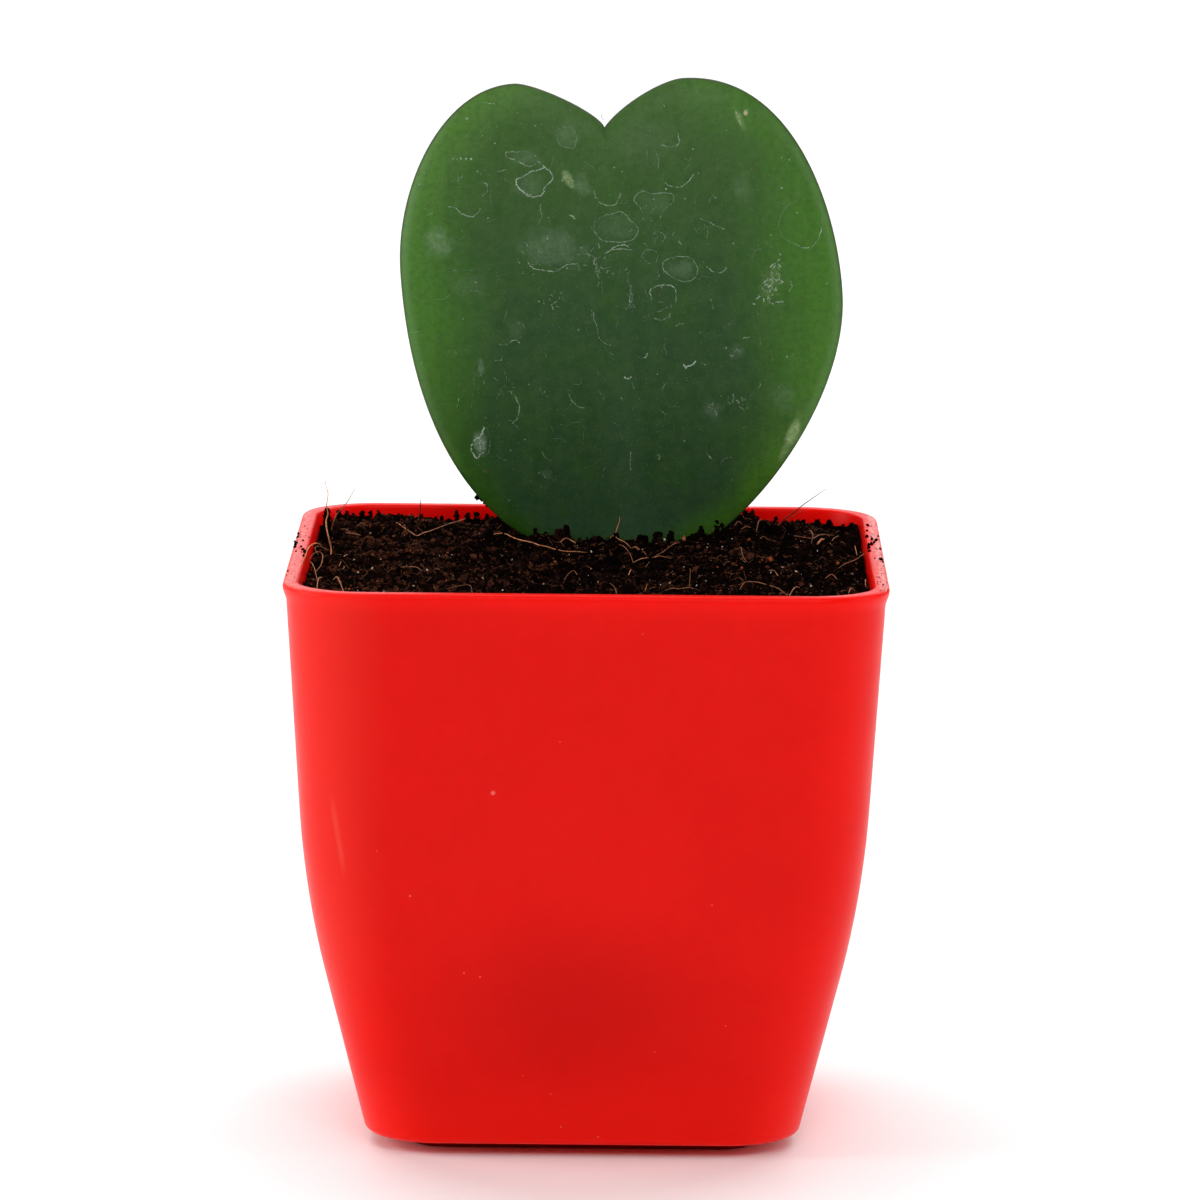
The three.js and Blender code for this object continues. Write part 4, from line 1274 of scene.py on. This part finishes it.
# Fibres that stand up: thickness in millimetres, tint, and the route in pixels from foot to tip.
STANDING_FIBRES = [
    (0.3, 1.0, [(330.2, 559.6), (331.2, 550.4), (329.7, 541.2), (327.1, 531), (326.1, 520.8),
        (327.9, 513.7), (326.4, 505.5), (327.1, 501.9), (328, 493.3), (326, 486), (325.1, 480)]),
    (0.26, 0.45, [(332.2, 537.1), (331.7, 528), (333.8, 520.8), (337.3, 513.7), (341.4, 508.6),
        (347, 502.4), (351.6, 494.3), (355.2, 488.7)]),
    (0.34, 0.0, [(416.9, 529), (417.4, 520.8), (419.5, 515.7), (420.5, 505.5), (420, 499.4)]),
    (0.2, 0.9, [(615.6, 534), (617.9, 525.6), (619.6, 521), (619.6, 516.4)]),
    (0.22, 0.7, [(616.6, 595), (615.6, 589.9), (613.3, 585.9), (609.8, 583)]),
    (0.24, 0.6, [(644.9, 595), (645.7, 588.7), (647.5, 583.6)]),
    (0.3, 0.1, [(781.3, 522.1), (790.5, 514.7), (800.8, 506.6), (813.5, 497.5), (826.6, 488.5)]),
    (0.18, 0.3, [(786, 521), (795.5, 514.6), (804, 509.6)]),
]
# A fibre that lies over the left rim.
RIM_FIBRE_START = (322, 546)
RIM_FIBRE_PIXELS = [
    (317.4, 543.3), (310.8, 545.3), (307.2, 550.4), (305.7, 555.5), (303.2, 560.6), (300.6, 566.7),
]
# Fibres that lie all over the mix: count, and the ranges of step length, thickness and rise of the middle.
LOOSE_FIBRES = [(90, (0.5, 1.4), (0.06, 0.11), (0.0, 0.4)), (1500, (0.12, 0.45), (0.045, 0.1), (-0.25, 0.2))]
LEAF_FOOT_REACH = 16
LEAF_FOOT_FRONT = LEAF_FOOT.y - BLADE_THICKNESS / 2 - 1.2


def lying_point(x, y, lift):
    """The point at a pixel, lift above the mix, or against the leaf's foot or the pot's rear wall."""
    rear = inner_half_width(MIX_LEVEL) - 0.3
    for depth in np.arange(-rear, rear, 0.3):
        place = seen_at_depth(x, y, depth)
        at_leaf = abs(place.x - LEAF_FOOT.x) < LEAF_FOOT_REACH and LEAF_FOOT_FRONT < depth < LEAF_FOOT.y
        if at_leaf or place.z < mix_top(place.x, place.y) + lift:
            break
    return place


def lying_route(pixels, lift):
    """A route on the mix whose two ends dip into it."""
    points = [lying_point(x, y, lift) for x, y in pixels]
    for end in (0, -1):
        points[end] = points[end] - Vector((0, 0, min(0.6, lift + 0.2)))
    return [tuple(p) for p in points]


def standing_route(pixels):
    """A route that rises from the mix, upright above its foot."""
    foot = lying_point(*pixels[0], 0)
    root = foot - Vector((0, 0, 1))
    return [tuple(root), *(tuple(seen_at_depth(x, y, foot.y)) for x, y in pixels)]


def rim_route():
    """From the mix up and over the left rim."""
    start = lying_point(*RIM_FIBRE_START, 0)
    return [tuple(start), *(tuple(seen_at_height(x, y, POT_HEIGHT + 0.08)) for x, y in RIM_FIBRE_PIXELS)]


def smooth_route(route, steps=6):
    """Catmull-Rom points through the route."""
    p = np.array([2 * np.array(route[0]) - route[1], *route, 2 * np.array(route[-1]) - route[-2]])
    t = np.linspace(0, 1, steps, endpoint=False)[:, None]
    parts = []
    for a, b, c, d in zip(p, p[1:], p[2:], p[3:]):
        parts.append(0.5 * (2 * b + (c - a) * t + (2 * a - 5 * b + 4 * c - d) * t ** 2
                            + (3 * b - a - 3 * c + d) * t ** 3))
    return np.vstack([*parts, [route[-1]]])


def tube(route, thickness, sides, tip):
    """Points and faces of a closed tube that thins towards its ends, the last of them to the tip's share."""
    route = np.asarray(route)
    along = np.gradient(route, axis=0)
    along /= np.linalg.norm(along, axis=1, keepdims=True)
    side = np.cross(along, (0.31, 0.17, 0.93))
    side /= np.linalg.norm(side, axis=1, keepdims=True)
    other = np.cross(along, side)
    share = np.linspace(0, 1, len(route))
    radius = thickness / 2 * (0.45 + 0.55 * np.sin(math.pi * share) ** 0.4) * (1 - (1 - tip) * share)
    angles = 2 * math.pi * np.arange(sides) / sides
    rings = (route[:, None] + radius[:, None, None] * (
        np.cos(angles)[None, :, None] * side[:, None] + np.sin(angles)[None, :, None] * other[:, None]))
    points = np.vstack([rings.reshape(-1, 3), route[:1], route[-1:]])
    return points, loft_faces(len(route), sides)


def random_fibre(rng, step, rise):
    """A fibre that lies on the mix in a loose curve, with its middle raised."""
    x, y = random_spot(rng, 2)
    reach = inner_half_width(MIX_LEVEL) - 1
    heading, bend = rng.uniform(0, 2 * math.pi), rng.normal(0, 0.25)
    route = []
    for i in range(6):
        if not inside_square(x, y, reach, RIM_CORNER - WALL - 1):
            break
        route.append((x, y, mix_surface(x, y) + 0.3 + rise * math.sin(math.pi * i / 5)))
        heading += bend + rng.normal(0, 0.4)
        x += step * math.cos(heading)
        y += step * math.sin(heading)
    return route


def loose_fibres(rng):
    """(thickness, tint, route, tip) of the fibres and short bits of fibre that lie all over the mix."""
    fibres = []
    for count, steps, thicknesses, rises in LOOSE_FIBRES:
        for _ in range(count):
            route = random_fibre(rng, rng.uniform(*steps), rng.uniform(*rises))
            if len(route) > 3:
                fibres.append((rng.uniform(*thicknesses), 0.04 + 0.42 * rng.random() ** 2, route, 0.6))
    return fibres


def shown_fibres():
    """(thickness, tint, route, tip) of the fibres that the photograph shows."""
    lying = [(thickness, tint, lying_route(pixels, lift), 0.8)
             for thickness, lift, tint, pixels in LYING_FIBRES]
    standing = [(thickness, tint, standing_route(pixels), 0.4)
                for thickness, tint, pixels in STANDING_FIBRES]
    return [*lying, *standing, (0.24, 0.9, rim_route(), 0.6)]


def make_fibres(material):
    rng = np.random.default_rng(FIBRE_SEED)
    points, faces, tints, start = [], [], [], 0
    for group, steps, sides in ((shown_fibres(), 6, 6), (loose_fibres(rng), 2, 4)):
        for thickness, tint, route, tip in group:
            tube_points, tube_faces = tube(smooth_route(route, steps), thickness, sides, tip)
            points.append(tube_points)
            faces += shifted(tube_faces, start)
            tints += [tint] * len(tube_points)
            start += len(tube_points)
    fibres = make_piece("coir_fibres", np.vstack(points), faces, material)
    store(fibres, "tint", "FLOAT", tints)
    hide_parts("potting_mix")


def coir_fibre():
    """Tan to reddish brown plant fibre with lighter and darker stretches."""
    s = Shader("coir_fibre")
    at = s.place()
    own = s.mix(s.attribute("tint"), colour(44, 20, 12), colour(226, 150, 104))
    patches = s.noise(at, 1.5, 4, 0.6)
    own = s.mix(s.ramp(patches, 0.42, 0.66, 0.0, 0.7), own, colour(92, 42, 25))
    s.set(
        Base_Color=own,
        Roughness=0.55,
        Normal=s.bump(s.noise(at, 0.12, 2), 0.4, 0.05),
        Specular_IOR_Level=0.08,
    )
    return s.material


# ---- Crumbs on the rim ----

# Single crumbs on the rim, as pixel and radius in millimetres.
RIM_CRUMB_PIXELS = [
    (292, 543, 0.4), (294, 545, 0.3), (290, 547, 0.28), (297, 534, 0.3), (296, 537, 0.25), (303, 541, 0.25),
    (303, 550, 0.32), (305, 556, 0.26), (301, 547, 0.3), (305, 552, 0.28), (286, 571, 0.2),
    (285, 575, 0.16), (868, 526, 0.32), (867, 531, 0.22), (866, 537, 0.34), (872, 540, 0.36),
    (874, 543, 0.4), (871, 545, 0.34), (876, 541, 0.3), (869, 548, 0.3), (883, 549, 0.26), (881, 560, 0.34),
    (884, 562, 0.2), (884, 566, 0.16), (860, 545, 0.3), (863, 551, 0.3),
]
# Fine dust of the mix on the rim: the upper and the lower pixel of each stretch, count and largest radius.
RIM_DUST_PIXELS = [
    ((305, 525), (303, 541), 12, 0.13), ((301, 546), (303, 556), 16, 0.2),
    ((297, 560), (294, 585), 12, 0.11), ((872, 526), (875, 550), 20, 0.15),
    ((877, 552), (880, 577), 22, 0.13), ((880, 577), (884, 592), 24, 0.13),
]


def add_rim_crumb(crumbs, place, radius):
    """Lays a crumb on the top of the rim, moved sideways onto it if it lies off it."""
    outer = outer_half_width(POT_HEIGHT) + LIP_FLARE - LIP_ROUNDING
    inner = outer_half_width(POT_HEIGHT) - WALL + LIP_INNER_ROUNDING
    x = math.copysign(min(max(abs(place.x), inner - 0.3), outer + 0.4), place.x)
    drop = 0.15 * max(abs(x) - outer, inner - abs(x), 0)
    crumbs.add((x, place.y, POT_HEIGHT + 0.35 * radius - drop), radius, 0.2 if radius > 0.18 else 0.6)


def make_rim_crumbs(material):
    rng = np.random.default_rng(RIM_SEED)
    crumbs = Crumbs()
    for x, y, radius in RIM_CRUMB_PIXELS:
        add_rim_crumb(crumbs, seen_at_height(x, y, POT_HEIGHT), radius)
    for upper, lower, count, largest in RIM_DUST_PIXELS:
        far, near = (seen_at_height(*pixel, POT_HEIGHT) for pixel in (upper, lower))
        for _ in range(count):
            place = far.lerp(near, rng.random()) + Vector((rng.normal(0, 0.6), 0, 0))
            add_rim_crumb(crumbs, place, 0.05 + (largest - 0.05) * rng.random() ** 2)
    crumbs.make("rim_crumbs", rng, 1, 0.3, material)


# ---- Floor and light ----

FLOOR_RADIUS = 4.0
SUN_SPREAD = math.radians(80)
FILL_STRENGTH = 0.03
MIDDLE, FLOOR = (0, 0, 0.08), (0, 0, 0)
# Mostly a big soft sky from behind and above, as before a lit white backdrop, filled from front and sides:
# name, kind, place and target in metres, power in watts, or W/m2 for a sun, and size in metres.
LIGHTS = [
    ("rear_sky", "SUN", (0, 1, 1.2), FLOOR, 2.4, None),
    ("front_sky", "SUN", (0, -0.8, 1.4), FLOOR, 0.75, None),
    ("front_box", "AREA", (0.1, -0.7, 0.55), MIDDLE, 1.8, (0.4, 0.3)),
    ("left_box", "AREA", (-0.9, -0.1, 0.35), MIDDLE, 5.5, (0.6, 0.6)),
    ("right_box", "AREA", (0.9, -0.1, 0.35), MIDDLE, 2.9, (0.6, 0.6)),
    ("backdrop_box", "AREA", (0, 1.5, 1.3), (0, 1.5, 0), 12, (2.6, 1.8)),
]


def make_floor():
    s = Shader("white_floor")
    at = s.place()
    s.set(
        Base_Color=s.mix(s.noise(at, 60, 2), colour(247, 247, 247), colour(250, 250, 250)),
        Roughness=0.6,
        Specular_IOR_Level=0.2,
    )
    mesh = bpy.data.meshes.new("floor")
    points = circle(FLOOR_RADIUS, 96)
    mesh.from_pydata(points, [], [range(len(points))])
    mesh.materials.append(s.material)
    add_object("floor", mesh)


def add_light(name, kind, place, target, power, size):
    """A soft light at place, turned to the target."""
    data = bpy.data.lights.new(name, kind)
    data.energy = power
    if kind == "AREA":
        data.shape = "RECTANGLE"
        data.size, data.size_y = size
    else:
        data.angle = SUN_SPREAD
    light = bpy.data.objects.new(name, data)
    light.location = place
    light.rotation_euler = (Vector(target) - Vector(place)).to_track_quat("-Z", "Y").to_euler()
    bpy.context.scene.collection.objects.link(light)


def make_world():
    """White where the camera sees past the floor, and a dim even fill for everything else."""
    world = bpy.data.worlds.new("studio")
    bpy.context.scene.world = world
    world.use_nodes = True
    tree = world.node_tree
    seen = tree.nodes.new("ShaderNodeLightPath").outputs["Is Camera Ray"]
    strength = tree.nodes.new("ShaderNodeMapRange")
    strength.inputs["To Min"].default_value = FILL_STRENGTH
    tree.links.new(seen, strength.inputs["Value"])
    background = tree.nodes["Background"]
    background.inputs["Color"].default_value = colour(255, 255, 255)
    tree.links.new(strength.outputs["Result"], background.inputs["Strength"])


# ---- The object ----

make_pot(red_plastic())
leaf_material = waxy_leaf()
make_leaf(leaf_material)
make_stalk(leaf_material)
make_marks(leaf_material)
mix_material = coir_mix()
make_mix_body(mix_material)
make_crumbs(mix_material)
make_rim_crumbs(mix_material)
make_fibres(coir_fibre())
make_floor()
make_world()
for light in LIGHTS:
    add_light(*light)
bpy.context.scene.view_settings.view_transform = "Standard"
